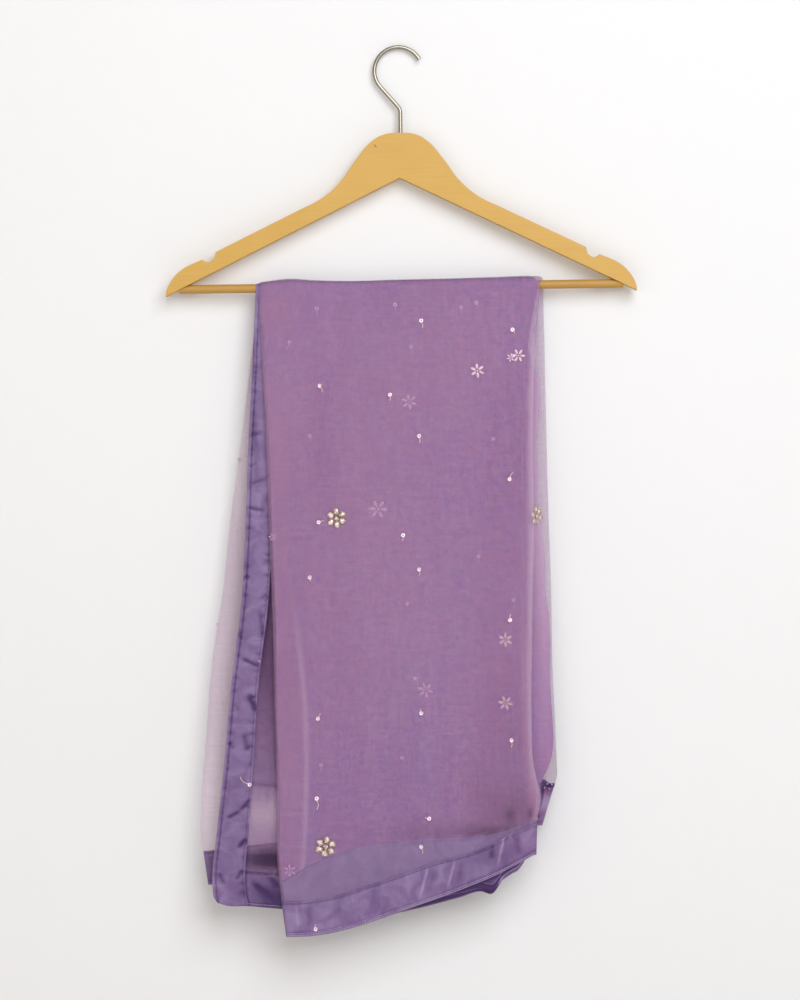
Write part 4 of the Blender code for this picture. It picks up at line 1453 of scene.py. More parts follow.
@dataclass
class EndLayer:
    """The layer that sticks out at the left: a sheer panel, the upright satin border down the cloth's short
    end, and the border along its hem."""

    drape: Drape
    border_height: float = 33.0
    right: float = -78.0
    strip_grid: tuple[int, int] = (460, 36)  # rows and columns
    panel_grid: tuple[int, int] = (150, 20)
    hem_grid: tuple[int, int] = (34, 60)
    crown_rows: int = 8
    wall: float = 0.3
    satin_wall: float = 0.7
    seam_inset: float = 3.4
    right_seam_inset: float = 2.2
    hem_inset: float = 2.5
    tuck: float = 4.0
    hem_tuck: float = 3.0

    def out(self, across: Points, drop: Points, below: Points) -> Points:
        """The layer's distance from the bar's axis, before its small gathers."""
        hollow = swelling(END_SWELLS, across, drop) * ease(below / self.drape.front.loose_drop)
        return self.drape.front.end_layer(below) - hollow

    def left_edge(self, drop: Points) -> Points:
        """The layer's outer edge."""
        return read_rows(END_EDGES, "left", drop)

    def border_edge(self, drop: Points) -> Points:
        """The upright border's inner edge; the border draws in towards the top."""
        return self.left_edge(drop) + read_rows(END_EDGES, "border_width", drop)

    def grid(
        self,
        start: Callable[[Points], Points],
        end: Callable[[Points], Points],
        hem_lift: float,
        height: float | None,
        size: tuple[int, int],
    ) -> tuple[Points, Points, Points, Points]:
        """Places a stretch of the layer between two upright edges.

        Args:
            start: The left edge's place across at a drop.
            end: The right edge's.
            hem_lift: How far above the layer's hem the stretch ends.
            height: The stretch's height, or None for one that reaches over the bar.
            size: The number of points down it and across it.

        Returns:
            The places across, the drops, the drops below the bar's axis and the turns round it.
        """
        share = np.linspace(0.0, 1.0, size[1])[None, :]
        falling = np.linspace(1.0, 0.0, size[0])[:, None]
        drop = np.full(size, self.drape.bar.drop)
        across = drop
        for _ in range(8):
            left = start(drop)
            across = left + (end(drop) - left) * share
            axis = self.drape.bar.axis_drop(across)
            low = read_rows(END_HEM, "drop", across) - hem_lift
            high = axis if height is None else low - height
            drop = high + (low - high) * falling
        if height is not None:
            return across, drop, drop - self.drape.bar.axis_drop(across), np.zeros_like(across)
        turns = np.linspace(0.0, math.pi / 2, self.crown_rows)[1:, None]
        over = np.repeat(across[-1:], len(turns), axis=0)
        across = np.concatenate([across, over])
        drop = np.concatenate([drop, self.drape.bar.axis_drop(over)])
        turn = np.concatenate([np.zeros_like(falling), turns]) + np.zeros_like(across)
        return across, drop, drop - self.drape.bar.axis_drop(across), turn

    def strip(self) -> Sheet:
        """Lays out the upright border, puckered along both of its seams.

        Returns:
            Its grid.
        """
        across, drop, below, turn = self.grid(
            self.left_edge, self.border_edge, 0.0, None, self.strip_grid
        )
        from_left = across - self.left_edge(drop)
        from_right = self.border_edge(drop) - across
        left_seam, right_seam = from_left - self.seam_inset, from_right - self.right_seam_inset
        depth = Puckering(31, spacing=8.0, reach=3.5).depth(drop, left_seam)
        wide = Puckering(32, spacing=9.0, reach=4.5, half_width=2.0, height=0.4)
        depth += wide.depth(drop, from_right - self.seam_inset)
        relief = creasing(END_CREASES, across, drop) - depth
        relief = relief - seam_groove(left_seam, 0.8, 0.55) - seam_groove(right_seam, 0.8, 0.25)
        edge = 0.35 * (bell(from_left, 0.8) + bell(from_right, 0.8))
        loose = 0.35 + 0.65 * ease(below / 60.0)
        out = self.out(across, drop, below) + 0.45 + (relief * 0.8 - edge) * loose
        warm, light = toning_and_shading(END_TONES_AND_SHADE, across, drop)
        # painted highlight and shade of the puckers, and a paler line along the left edge
        light = light + painted_satin_shading(relief, drop, 1.0) * loose + 0.45 * bell(from_left, 0.8)
        return Sheet(self.drape.world(across, out, below, turn), drop, across, warm, light)

    def panel(self) -> Sheet:
        """Lays out the sheer panel, tucked in behind the borders.

        Returns:
            Its grid.
        """
        across, drop, below, turn = self.grid(
            lambda at: self.border_edge(at) - self.tuck,
            lambda at: np.full_like(at, self.right),
            self.border_height - self.tuck,
            None,
            self.panel_grid,
        )
        tucked = ease((self.border_edge(drop) + 2.0 - across) / 3.0)
        out = self.out(across, drop, below) + 0.3 - 0.75 * tucked
        warm, light = toning_and_shading(PANEL_LIGHT_AND_SHADE, across, drop)
        # painted shadow of the upright border along its edge
        light = light - 0.6 * bell(across - self.border_edge(drop) - 0.4, 1.3)
        return Sheet(self.drape.world(across, out, below, turn), across, drop, warm, light)

    def hem(self) -> Sheet:
        """Lays out the border along the hem, from behind the upright border to the hidden part.

        Returns:
            Its grid.
        """
        across, drop, below, turn = self.grid(
            lambda at: self.border_edge(at) - self.hem_tuck,
            lambda at: np.full_like(at, self.right),
            0.0,
            self.border_height,
            self.hem_grid,
        )
        from_hem = read_rows(END_HEM, "drop", across) - drop
        from_top = self.border_height - from_hem
        from_seam, from_hem_seam = from_top - self.hem_inset, from_hem - self.hem_inset
        depth = Puckering(41, spacing=8.0, reach=6.0).depth(across, from_seam)
        relief = creasing(END_CREASES, across, drop) - depth
        relief = relief - seam_groove(from_seam) - seam_groove(from_hem_seam)
        behind = 0.8 * ease((self.border_edge(drop) + 1.0 - across) / 3.0)
        out = self.out(across, drop, below) + 0.45 + relief * 0.8 - behind
        warm, light = toning_and_shading(END_TONES_AND_SHADE, across, drop)
        # painted satin shading, painted shade along the upper edge, and the upright border's painted shadow
        # beside it
        light = light + painted_satin_shading(relief, drop) - 0.8 * bell(from_top, 1.6)
        light = light - 0.6 * bell(across - self.border_edge(drop) - 0.4, 1.6)
        return Sheet(self.drape.world(across, out, below, turn), across, drop, warm, light)

    def build(self, sheer: Material, satin: Material) -> list[Piece]:
        """Builds the panel and its borders.

        Args:
            sheer: The panel's material.
            satin: The borders' material.

        Returns:
            The panel, the upright border and the border along the hem.
        """
        panel = sheet_object("end_layer_sheer", [self.panel()], self.wall, sheer)
        strip = sheet_object("end_border_satin", [self.strip()], self.satin_wall, satin)
        hem = sheet_object("end_hem_satin", [self.hem()], self.satin_wall, satin)
        return [
            stand_in(panel, "end_layer"),
            stand_in(strip, "end_border"),
            stand_in(hem, "end_layer_hem"),
        ]


class Ring(NamedTuple):
    """One section through the hidden layers, with what the sheets have at each of its points."""

    points: Points
    cloth: Points
    warm: Points
    light: Points


@dataclass
class HiddenLayers:
    """The folded layers inside the outer one: one rounded solid over the bar whose sides show each ply, with
    the satin hems of three plies in front and two at the back, each a little lower than the last."""

    drape: Drape
    fall_rows: int = 120
    crown_rows: int = 18
    flats: int = 90
    plies: int = 4
    ply_points: int = 6
    groove: float = 0.9
    satin_wall: float = 0.75
    ply_step: float = 3.5  # how far each ply's hem hangs below the one in front of it
    seam_inset: float = 2.5
    hem_inset: float = 3.0
    front_inset: float = 2.4  # how far in from the outermost layer's edges the hems end
    back_inset: float = 0.3
    hem_columns: int = 150
    hem_rows: int = 24

    def edge_inset(self, depth: Points, drop: Points, seed: float) -> Points:
        """How far in from the solid's side each place on its edge lies, so that the plies show.

        Args:
            depth: The share of the way from the inside to the outside of the solid.
            drop: The drop, along which each ply's edge wanders.
            seed: Sets how the edges wander.

        Returns:
            The distance in from the side.
        """
        ply = np.minimum(np.floor(depth * self.plies), self.plies - 1)
        between = np.abs(np.sin(math.pi * depth * self.plies))
        wander = 0.9 * (1.0 + np.sin(drop / 47.0 + ply * 2.1 + seed) * np.cos(drop / 113.0 + ply * 1.3))
        return self.groove * (1.0 - between) + wander * np.where(depth > 0.99, 0.6, 1.0)

    def sides(self, share: float, turn: float) -> tuple[Points, Points, Points, Points]:
        """The solid's left and right sides and their drops.

        Args:
            share: The share of the way down the fall.
            turn: The angle round the bar.

        Returns:
            Left, left drop, right, right drop.
        """
        mix = ease(turn / math.pi)
        down = np.full(1, share)
        found: list[Points] = []
        for column, side, inward in ((np.zeros(1), "left", 1.0), (np.ones(1), "right", -1.0)):
            front, front_drop = self.drape.settle(FRONT_SIDES, BUNDLE_BORDER_TOP, column, down)
            inset = inward * read_rows(CORE_INSETS, side, front_drop)
            back, back_drop = self.drape.settle(BUNDLE_BACK_SIDES, BUNDLE_BACK_BORDER_TOP, column, down)
            found += [(front + inset) * (1.0 - mix) + back * mix, front_drop * (1.0 - mix) + back_drop * mix]
        return found[0], found[1], found[2], found[3]

    def ring(self, turn: float, share: float) -> Ring:
        """One section through the solid.

        Args:
            turn: The angle round the bar.
            share: The share of the way down the fall.

        Returns:
            The section.
        """
        drape = self.drape
        on_back = turn >= math.pi
        stack = drape.back if on_back else drape.front
        hem = BUNDLE_BACK_BORDER_TOP if on_back else BUNDLE_BORDER_TOP
        left, left_drop, right, right_drop = self.sides(share, turn)
        depth = np.linspace(0.0, 1.0, self.plies * self.ply_points + 1)
        flat = (np.arange(self.flats) + 1.0) / (self.flats + 1.0)
        spread = left + (right - left) * flat
        left_edge = left + self.edge_inset(depth, left_drop, 0.4)
        right_edge = right - self.edge_inset(depth, right_drop, 2.7)
        across = np.concatenate([left_edge, spread, right_edge[::-1], spread[::-1]])
        depths = np.concatenate([depth, np.ones(self.flats), depth[::-1], np.zeros(self.flats)])
        axis = drape.bar.axis_drop(across)
        drop = axis + (read_rows(hem, "drop", across) - axis) * share
        below = drop - axis
        out = stack.bundle_inside(below) + stack.bundle_thickness(below) * depths
        girth = np.cumsum(np.abs(np.diff(across, prepend=across[0])))
        height = drop if on_back else -drop
        warm, light = toning_and_shading(HIDDEN_TONES_AND_SHADE, across, drop) if on_back else panel_tones_and_light(across, drop, False)
        points = drape.world(across, out, below, np.full_like(across, turn))
        return Ring(points, np.stack([girth, height], -1) * MM, warm, light)

    def solid(self, material: Material) -> Piece:
        """Builds the solid as a loft through its sections.

        Args:
            material: The layered cloth's material.

        Returns:
            The solid.
        """
        front = [(0.0, share) for share in np.linspace(1.0, 0.0, self.fall_rows)]
        crown = [(turn, 0.0) for turn in np.linspace(0.0, math.pi, self.crown_rows + 2)[1:-1]]
        back = [(math.pi, share) for share in np.linspace(0.0, 1.0, self.fall_rows)]
        rings = [self.ring(turn, float(share)) for turn, share in [*front, *crown, *back]]
        points = np.stack([ring.points for ring in rings])
        rows, count, _ = points.shape
        index = np.arange(rows * count).reshape(rows, count)
        around = np.roll(index, -1, axis=1)
        faces = np.stack([index[:-1], around[:-1], around[1:], index[1:]], axis=-1).reshape(-1, 4).tolist()
        side = self.plies * self.ply_points + 1
        for row in (0, rows - 1):
            faces += self.cap(index[row].tolist(), side)
        mesh = bpy.data.meshes.new("hidden_layers_organza")
        mesh.from_pydata(points.reshape(-1, 3).tolist(), [], faces)
        corner = np.empty(len(mesh.loops), np.int32)
        mesh.loops.foreach_get("vertex_index", corner)
        cloth = np.concatenate([ring.cloth for ring in rings])
        mesh.uv_layers.new(name="Cloth").data.foreach_set("uv", cloth[corner].reshape(-1))
        number_points(mesh, warm=[ring.warm for ring in rings], light=[ring.light for ring in rings])
        bm = bmesh.new()
        bm.from_mesh(mesh)
        bmesh.ops.recalc_face_normals(bm, faces=bm.faces)
        bm.to_mesh(mesh)
        bm.free()
        mesh.shade_smooth()
        mesh.set_sharp_from_angle(angle=math.radians(50.0))
        mesh.materials.append(material)
        return link(bpy.data.objects.new("hidden_layers_organza", mesh))

    def cap(self, ring: list[int], side: int) -> list[list[int]]:
        """The faces that close one end of the solid.

        Args:
            ring: The ring's point numbers.
            side: How many of them lie on each side.

        Returns:
            The faces.
        """
        inner = ring[:side]
        outer = ring[side + self.flats : 2 * side + self.flats][::-1]
        face_out = [inner[-1], *ring[side : side + self.flats], outer[-1]]
        face_in = [inner[0], *ring[2 * side + self.flats :][::-1], outer[0]]
        faces = [[*inner, face_out[1], face_in[1]], [*outer, face_out[-2], face_in[-2]]]
        for i in range(1, self.flats):
            faces.append([face_out[i], face_out[i + 1], face_in[i + 1], face_in[i]])
        return faces

    def hem_band(self, front: bool, depth_share: float, raised: float, seed: int) -> Sheet:
        """One ply's satin hem.

        Args:
            front: Whether it hangs in front of the bar.
            depth_share: Its share of the way from the inside to the outside of the hidden layers.
            raised: How far its hem lies above the lowest one.
            seed: For its small gathers and the wander of its hem.

        Returns:
            Its grid.
        """
        drape = self.drape
        sides = FRONT_SIDES if front else BUNDLE_BACK_SIDES
        top = BUNDLE_BORDER_TOP if front else BUNDLE_BACK_BORDER_TOP
        hem = BUNDLE_HEM if front else BUNDLE_BACK_HEM
        stack = drape.front if front else drape.back
        inset = self.front_inset if front else self.back_inset
        share = np.linspace(0.0, 1.0, self.hem_columns)[None, :]
        upper_across, upper = drape.settle(sides, top, share, np.ones((1, 1)))
        lower_across, lower = drape.settle(sides, hem, share, np.ones((1, 1)))
        wander = 1.1 * np.sin(share * 9.0 + seed) + 0.6 * np.sin(share * 23.0 + 2.0 * seed)
        lower = lower - raised - wander * min(1.0, raised)
        upper = upper - 2.0 * (1.0 - depth_share)
        up = np.linspace(0.0, 1.0, self.hem_rows)[:, None]
        if not front:
            up = up[::-1]
        across = lower_across + (upper_across - lower_across) * up + inset * (1.0 - 2.0 * share)
        drop = lower + (upper - lower) * up
        from_top, from_hem = drop - upper, lower - drop
        from_seam = from_top - self.seam_inset
        depth = Puckering(seed, spacing=9.0, reach=7.0, height=0.2).depth(across, from_seam)
        relief = -depth - seam_groove(from_seam) - seam_groove(from_hem - self.hem_inset)
        if front:
            relief = relief + 0.4 * creasing(FRONT_HEM_CREASES, across, drop)
        below = drop - drape.bar.axis_drop(across)
        turn = np.full_like(across, 0.0 if front else math.pi)
        out = stack.bundle_inside(below) + stack.bundle_thickness(below) * depth_share + relief * 0.35
        warm, light = toning_and_shading(HEM_STACK_SHADE_AND_TONE if front else (), across, drop)
        # painted satin shading, and a pale line along the hem
        light = light + painted_satin_shading(relief, drop) + 0.9 * bell(from_hem, 0.7)
        outermost = front and depth_share == 1.0
        covered = lower - read_rows(FRONT_HEM, "drop", across) if outermost else self.ply_step
        # painted shade where the ply or the border in front hangs over it
        light = light - 1.1 * bell(from_hem - covered, 1.5)
        return Sheet(drape.world(across, out, below, turn), across, drop, warm, light)

    def build(self, layered: Material, satin: Material) -> list[Piece]:
        """Builds the solid and the hems.

        Args:
            layered: The solid's material.
            satin: The hems' material.

        Returns:
            The solid, the front hems and the back hems.
        """
        solid = self.solid(layered)
        front_plies = ((1.0, 2 * self.ply_step, 51), (0.66, self.ply_step, 53), (0.3, 0.0, 55))
        back_plies = ((1.0, 3.0, 61), (0.4, 0.0, 63))
        front = sheet_object(
            "hidden_hems_front", [self.hem_band(True, *ply) for ply in front_plies], self.satin_wall, satin
        )
        back = sheet_object(
            "hidden_hems_back", [self.hem_band(False, *ply) for ply in back_plies], self.satin_wall, satin
        )
        return [
            stand_in(solid, "inner_layers"),
            stand_in(front, "inner_hem_front"),
            stand_in(back, "inner_hem_back"),
        ]


# ---------------------------------------------------------------------------------------------------------
# The hanger


@dataclass
class Hanger:
    """The wooden hanger: a shaped body with two strap notches, a dowel bar and a wire hook."""

    bar: Bar
    thickness: float = 13.0
    edge_round: float = 2.0
    crotch_drop: float = 122.3
    wire_radius: float = 1.95
    stem_across: float = 1.3  # how far right of the hook's crown the stem stands
    crook_radius: float = 22.7
    crook_start: float = math.radians(28.0)
    crook_end: float = math.radians(221.0)
    neck_bend: float = 8.0
    stem_end: float = 102.0
    outline: tuple[Corner, ...] = (
        Corner(0.0, 79.8, True),
        Corner(15.5, 81.6, True),
        Corner(27.0, 88.2, True),
        Corner(41.6, 105.2, True),
        Corner(56.5, 125.6, True),
        Corner(73.9, 140.6, True),
        Corner(96.0, 151.8, False),
        Corner(174.9, 190.1, False),
        Corner(176.6, 196.6, False),
        Corner(182.0, 199.8, True),
        Corner(187.8, 197.1, False),
        Corner(206.1, 205.6, True),
        Corner(215.2, 213.9, True),
        Corner(221.8, 225.5, True),
        Corner(222.8, 231.6, False),
    )

    def leaned(self, points: Points) -> Points:
        """Turns points in the hanger's own plane by its lean about the hook's crown, to metres.

        Args:
            points: Rows of x, y, z in millimetres, with the hanger level.

        Returns:
            The same points leaned, in metres.
        """
        c, s = math.cos(self.bar.tilt), math.sin(self.bar.tilt)
        x, y, z = points[..., 0], points[..., 1], points[..., 2]
        return np.stack([x * c - z * s, y, x * s + z * c], axis=-1) * MM

    def place_in_mesh(self, mesh: bpy.types.Mesh) -> None:
        """Leans a level mesh about the hook's crown and turns it to metres.

        Args:
            mesh: The mesh, in millimetres.
        """
        flat = np.empty(len(mesh.vertices) * 3, np.float32)
        mesh.vertices.foreach_get("co", flat)
        mesh.vertices.foreach_set("co", self.leaned(flat.reshape(-1, 3)).astype(np.float32).reshape(-1))
        mesh.update()

    def body(self, material: Material) -> Piece:
        """Builds the wooden body from its outline.

        Args:
            material: Its material.

        Returns:
            The body.
        """
        left = [corner._replace(reach=-corner.reach) for corner in reversed(self.outline[1:])]
        corners = [*self.outline, Corner(0.0, self.crotch_drop, False), *left]
        data = bpy.data.curves.new("hanger_outline", "CURVE")
        data.dimensions = "2D"
        data.fill_mode = "BOTH"
        data.extrude = self.thickness / 2
        data.resolution_u = 8
        spline = data.splines.new("BEZIER")
        spline.bezier_points.add(len(corners) - 1)
        for point, corner in zip(spline.bezier_points, corners):
            point.co = (corner.reach, -corner.drop, 0.0)
            point.handle_left_type = point.handle_right_type = "AUTO" if corner.smooth else "VECTOR"
        spline.use_cyclic_u = True
        flat = plain_copy(link(bpy.data.objects.new("hanger_outline", data)), "hanger_blank")
        bm = bmesh.new()
        bm.from_mesh(flat.data)
        bmesh.ops.remove_doubles(bm, verts=bm.verts, dist=0.001)
        bmesh.ops.dissolve_degenerate(bm, edges=bm.edges, dist=0.001)
        bmesh.ops.dissolve_limit(bm, angle_limit=0.001, verts=bm.verts, edges=bm.edges)
        bmesh.ops.recalc_face_normals(bm, faces=bm.faces)
        for vert in bm.verts:
            vert.co = Vector((vert.co.x, -vert.co.z, vert.co.y))
        bm.to_mesh(flat.data)
        bm.free()
        flat.data.shade_smooth()
        rounding = flat.modifiers.new("Rounded edges", "BEVEL")
        rounding.width = self.edge_round
        rounding.segments = 4
        rounding.limit_method = "ANGLE"
        rounding.angle_limit = math.radians(60.0)
        flat.modifiers.new("Flat faces stay flat", "WEIGHTED_NORMAL")
        body = plain_copy(flat, "hanger_body_wood")
        self.place_in_mesh(body.data)
        body.data.materials.clear()
        body.data.materials.append(material)
        return body

    def rod(self, material: Material) -> Piece:
        """Builds the dowel bar.

        Args:
            material: Its material.

        Returns:
            The bar.
        """
        bm = bmesh.new()
        bmesh.ops.create_cone(
            bm, cap_ends=True, segments=48, radius1=self.bar.radius, radius2=self.bar.radius,
            depth=2 * self.bar.half_length,
        )
        for vert in bm.verts:
            vert.co = Vector((vert.co.z, vert.co.y, -vert.co.x - self.bar.drop))
        mesh = bpy.data.meshes.new("hanger_bar_wood")
        bm.to_mesh(mesh)
        bm.free()
        mesh.shade_smooth()
        mesh.set_sharp_from_angle(angle=math.radians(40.0))
        self.place_in_mesh(mesh)
        mesh.materials.append(material)
        return link(bpy.data.objects.new("hanger_bar_wood", mesh))

    def wire_route(self) -> Points:
        """Draws the wire's middle line, from its free end round the crook and down into the wood.

        Returns:
            Points along it, in millimetres, with the hanger level.
        """
        centre = np.array([0.0, self.wire_radius - self.crook_radius])
        angles = np.linspace(self.crook_start, self.crook_end, 60)
        crook = centre + self.crook_radius * np.stack([np.cos(angles), np.sin(angles)], -1)
        slope = np.array([-math.sin(self.crook_end), math.cos(self.crook_end)])
        neck = crook[-1] + slope * ((self.stem_across - crook[-1][0]) / slope[0])
        turn = math.pi / 2 - math.atan2(-slope[1], slope[0])
        tangent = self.neck_bend * math.tan(turn / 2)
        angles = np.linspace(turn, 0.0, 12)
        bend_centre = np.array([self.stem_across - self.neck_bend, neck[1] - tangent])
        bend = bend_centre + self.neck_bend * np.stack([np.cos(angles), np.sin(angles)], -1)
        flat = np.concatenate([crook, bend, [[self.stem_across, -self.stem_end]]])
        return np.stack([flat[:, 0], np.zeros(len(flat)), flat[:, 1]], axis=-1)

    def hook(self, material: Material) -> Piece:
        """Builds the wire hook by Geometry Nodes along its route.

        Args:
            material: Its material.

        Returns:
            The hook.
        """
        route = spline_object("hook_route", [self.leaned(self.wire_route())])
        values = {"Radius": self.wire_radius * MM, "Sides": 20, "Finish": material}
        return run_tree(route, WireTree().build(), values, "hanger_hook_wire")

    def build(self, wood: Material, bar_wood: Material, wire: Material) -> list[Piece]:
        """Builds the whole hanger.

        Args:
            wood: The body's material.
            bar_wood: The bar's material.
            wire: The hook's material.

        Returns:
            The body, the bar and the hook.
        """
        return [
            stand_in(self.body(wood), "hanger_body"),
            stand_in(self.rod(bar_wood), "hanger_bar"),
            stand_in(self.hook(wire), "hanger_hook"),
        ]


# ---------------------------------------------------------------------------------------------------------
# Geometry Nodes


def new_tree(name: str, inputs: Sequence[tuple[str, str]]) -> tuple[Tree, Node]:
    """Makes a geometry tree with named inputs after its geometry.

    Args:
        name: The tree's name.
        inputs: Each input's name and socket type.

    Returns:
        The tree and its input node.
    """
    tree = bpy.data.node_groups.new(name, "GeometryNodeTree")
    tree.interface.new_socket("Geometry", in_out="INPUT", socket_type="NodeSocketGeometry")
    for label, kind in inputs:
        tree.interface.new_socket(label, in_out="INPUT", socket_type=kind)
    tree.interface.new_socket("Geometry", in_out="OUTPUT", socket_type="NodeSocketGeometry")
    return tree, add_node(tree, "NodeGroupInput")


def close_tree(tree: Tree, shape: Socket, finish: Socket) -> None:
    """Ends a tree by realizing its instances and setting its material.

    Args:
        tree: The tree.
        shape: The output that holds its geometry.
        finish: The output that holds its material.
    """
    real = add_node(tree, "GeometryNodeRealizeInstances", {}, {"Geometry": shape}).outputs[0]
    dressed = add_node(tree, "GeometryNodeSetMaterial", {}, {"Geometry": real, "Material": finish}).outputs[0]
    add_node(tree, "NodeGroupOutput", {}, {0: dressed})


def run_tree(obj: Piece, tree: Tree, values: dict[str, object], name: str) -> Piece:
    """Runs a tree on an object and keeps the plain mesh it makes.

    Args:
        obj: The object that carries the points or curve, which is used up.
        tree: The tree.
        values: Its inputs by name.
        name: The finished piece's name.

    Returns:
        The finished piece.
    """
    modifier = obj.modifiers.new("Repeat", "NODES")
    modifier.node_group = tree
    for item in tree.interface.items_tree:
        if item.item_type == "SOCKET" and item.in_out == "INPUT" and item.name in values:
            modifier[item.identifier] = values[item.name]
    piece = plain_copy(obj, name)
    piece.data.shade_smooth()
    return piece


class WireTree:
    """Runs a round section along a curve, for wire and thread."""

    def build(self) -> Tree:
        """Builds the tree.

        Returns:
            The tree.
        """
        tree, given = new_tree(
            "round wire",
            [("Radius", "NodeSocketFloat"), ("Sides", "NodeSocketInt"), ("Finish", "NodeSocketMaterial")],
        )
        section = add_node(
            tree, "GeometryNodeCurvePrimitiveCircle", {},
            {"Resolution": given.outputs["Sides"], "Radius": given.outputs["Radius"]},
        ).outputs[0]
        swept = add_node(
            tree, "GeometryNodeCurveToMesh", {},
            {"Curve": given.outputs["Geometry"], "Profile Curve": section, "Fill Caps": True},
        ).outputs[0]
        close_tree(tree, swept, given.outputs["Finish"])
        return tree


class StitchTree:
    """Sets a short rounded stitch at even steps along each curve, turned to follow it."""

    def build(self) -> Tree:
        """Builds the tree.

        Returns:
            The tree.
        """
        tree, given = new_tree(
            "running stitch",
            [("Pitch", "NodeSocketFloat"), ("Length", "NodeSocketFloat"), ("Thickness", "NodeSocketFloat"),
             ("Seed", "NodeSocketInt"), ("Finish", "NodeSocketMaterial")],
        )
        spots = add_node(
            tree, "GeometryNodeCurveToPoints", {"mode": "LENGTH"},
            {"Curve": given.outputs["Geometry"], "Length": given.outputs["Pitch"]},
        )
        along = add_node(
            tree, "FunctionNodeAlignRotationToVector", {"axis": "Z"}, {"Vector": spots.outputs["Tangent"]}
        ).outputs[0]
        sway = add_node(
            tree, "FunctionNodeRandomValue", {"data_type": "FLOAT_VECTOR"},
            {0: (-0.14, -0.14, -0.14), 1: (0.14, 0.14, 0.14), "Seed": given.outputs["Seed"]},
        ).outputs[0]
        turned = add_node(
            tree, "FunctionNodeRotateRotation", {"rotation_space": "LOCAL"}, {0: along, 1: sway}
        ).outputs[0]
        size = add_node(
            tree, "ShaderNodeCombineXYZ", {},
            {0: given.outputs["Thickness"], 1: given.outputs["Thickness"], 2: given.outputs["Length"]},
        ).outputs[0]
        bead = add_node(
            tree, "GeometryNodeMeshUVSphere", {}, {"Segments": 6, "Rings": 4, "Radius": 0.5}
        ).outputs[0]
        placed = add_node(
            tree, "GeometryNodeInstanceOnPoints", {},
            {"Points": spots.outputs["Points"], "Instance": bead, "Rotation": turned, "Scale": size},
        ).outputs[0]
        close_tree(tree, placed, given.outputs["Finish"])
        return tree


class MotifTree:
    """Sets one motif on every point, facing the way its "facing" attribute says, turned by "turn"."""

    def build(self) -> Tree:
        """Builds the tree.

        Returns:
            The tree.
        """
        tree, given = new_tree(
            "sewn motifs",
            [("Motif", "NodeSocketObject"), ("Tilt", "NodeSocketFloat"), ("Seed", "NodeSocketInt"),
             ("Finish", "NodeSocketMaterial")],
        )
        facing, turn, size = (
            add_node(tree, "GeometryNodeInputNamedAttribute", {"data_type": kind}, {"Name": name}).outputs[0]
            for name, kind in (("facing", "FLOAT_VECTOR"), ("turn", "FLOAT"), ("size", "FLOAT"))
        )
        upright = add_node(
            tree, "FunctionNodeAlignRotationToVector", {"axis": "Z"}, {"Vector": facing}
        ).outputs[0]
        low = work_out(tree, "MULTIPLY", given.outputs["Tilt"], -1.0)
        tip_x = add_node(
            tree, "FunctionNodeRandomValue", {"data_type": "FLOAT"},
            {2: low, 3: given.outputs["Tilt"], "Seed": given.outputs["Seed"]},
        ).outputs[1]
        spin = add_node(tree, "ShaderNodeCombineXYZ", {}, {0: tip_x, 2: turn}).outputs[0]
        turned = add_node(
            tree, "FunctionNodeRotateRotation", {"rotation_space": "LOCAL"}, {0: upright, 1: spin}
        ).outputs[0]
        motif = add_node(
            tree, "GeometryNodeObjectInfo", {"transform_space": "ORIGINAL"},
            {"Object": given.outputs["Motif"], "As Instance": True},
        ).outputs["Geometry"]
        placed = add_node(
            tree, "GeometryNodeInstanceOnPoints", {},
            {"Points": given.outputs["Geometry"], "Instance": motif, "Rotation": turned, "Scale": size},
        ).outputs[0]
        close_tree(tree, placed, given.outputs["Finish"])
        return tree


# ---------------------------------------------------------------------------------------------------------
# Embroidery and stitching


class Sequin(NamedTuple):
    """One sewn sequin: its place, and the direction (degrees from level) and length of its thread's tail."""

    across: float
    drop: float
    tail_turn: float = -90.0
    tail: float = 4.0


FRONT_FLOWERS = table(Motif, (-57.8, 444.1, 4, 1), (-68.2, 753.8, -8, 1.05))
SIDE_FLOWERS = table(Motif, (131.6, 442.2, 10, 1))
OUTER_STARS = table(Motif, (74.8, 304.9, 6), (113.6, 290.6, 28, 0.95), (106.4, 292.6, -12, 0.6))
INNER_STARS = table(Motif, (101.3, 558.7, 0), (101.3, 618.4, 20))
DEEP_STARS = table(
    Motif,
    (10.4, 334.3, 10, 1.1), (-18.9, 435.6, 25, 1.3), (25.6, 606.1, 15, 1.1), (-102.3, 776.5, 0, 0.9),
    (-118, 462, 20, 0.6),
)
FRONT_SEQUINS = table(
    Sequin,
    (21.8, 257.6, -80, 5), (-73.9, 319.1, -70, 5), (-7.6, 327.7, -95, 4), (19.9, 366.5, -90, 5),
    (108, 266.1, -60, 2.5), (105.1, 407.2, 60, 5.5), (-74.8, 447.9, 10, 4), (4.7, 460.2, -100, 4),
    (19.9, 492.4, -90, 4), (-83.3, 500, -80, 2), (21.8, 627.9, 90, 3), (-76.7, 708.4, -90, 9),
    (107, 653.4, -95, 5), (29.4, 727.3, 160, 2.5), (21.8, 753.8, -80, 5), (-75.5, 633, 60, 4),
    (105.5, 540, 80, 4),
)
STRIP_SEQUINS = table(Sequin, (-127.8, 580.5, 150, 3), (-140.2, 696, 140, 10))
BORDER_SEQUINS = table(Sequin, (-77.7, 831.5, 90, 3))
INNER_SEQUINS = table(
    Sequin,
    (-83.3, 366.5), (-76.7, 246.2), (-2.8, 242.4), (59.7, 245.3), (73.9, 240.5, -80, 4), (12.3, 282.2),
    (-102.3, 277.5, -120, 7), (90, 369.3, -100, 5), (108.9, 520.9), (8.5, 524.6), (76, 480),
    (16, 595, -80, 8), (4, 670), (-73, 677),
)
SIDE_SEQUINS = table(Sequin, (-150.6, 388.3, -90, 2), (-171, 545, -90, 2))
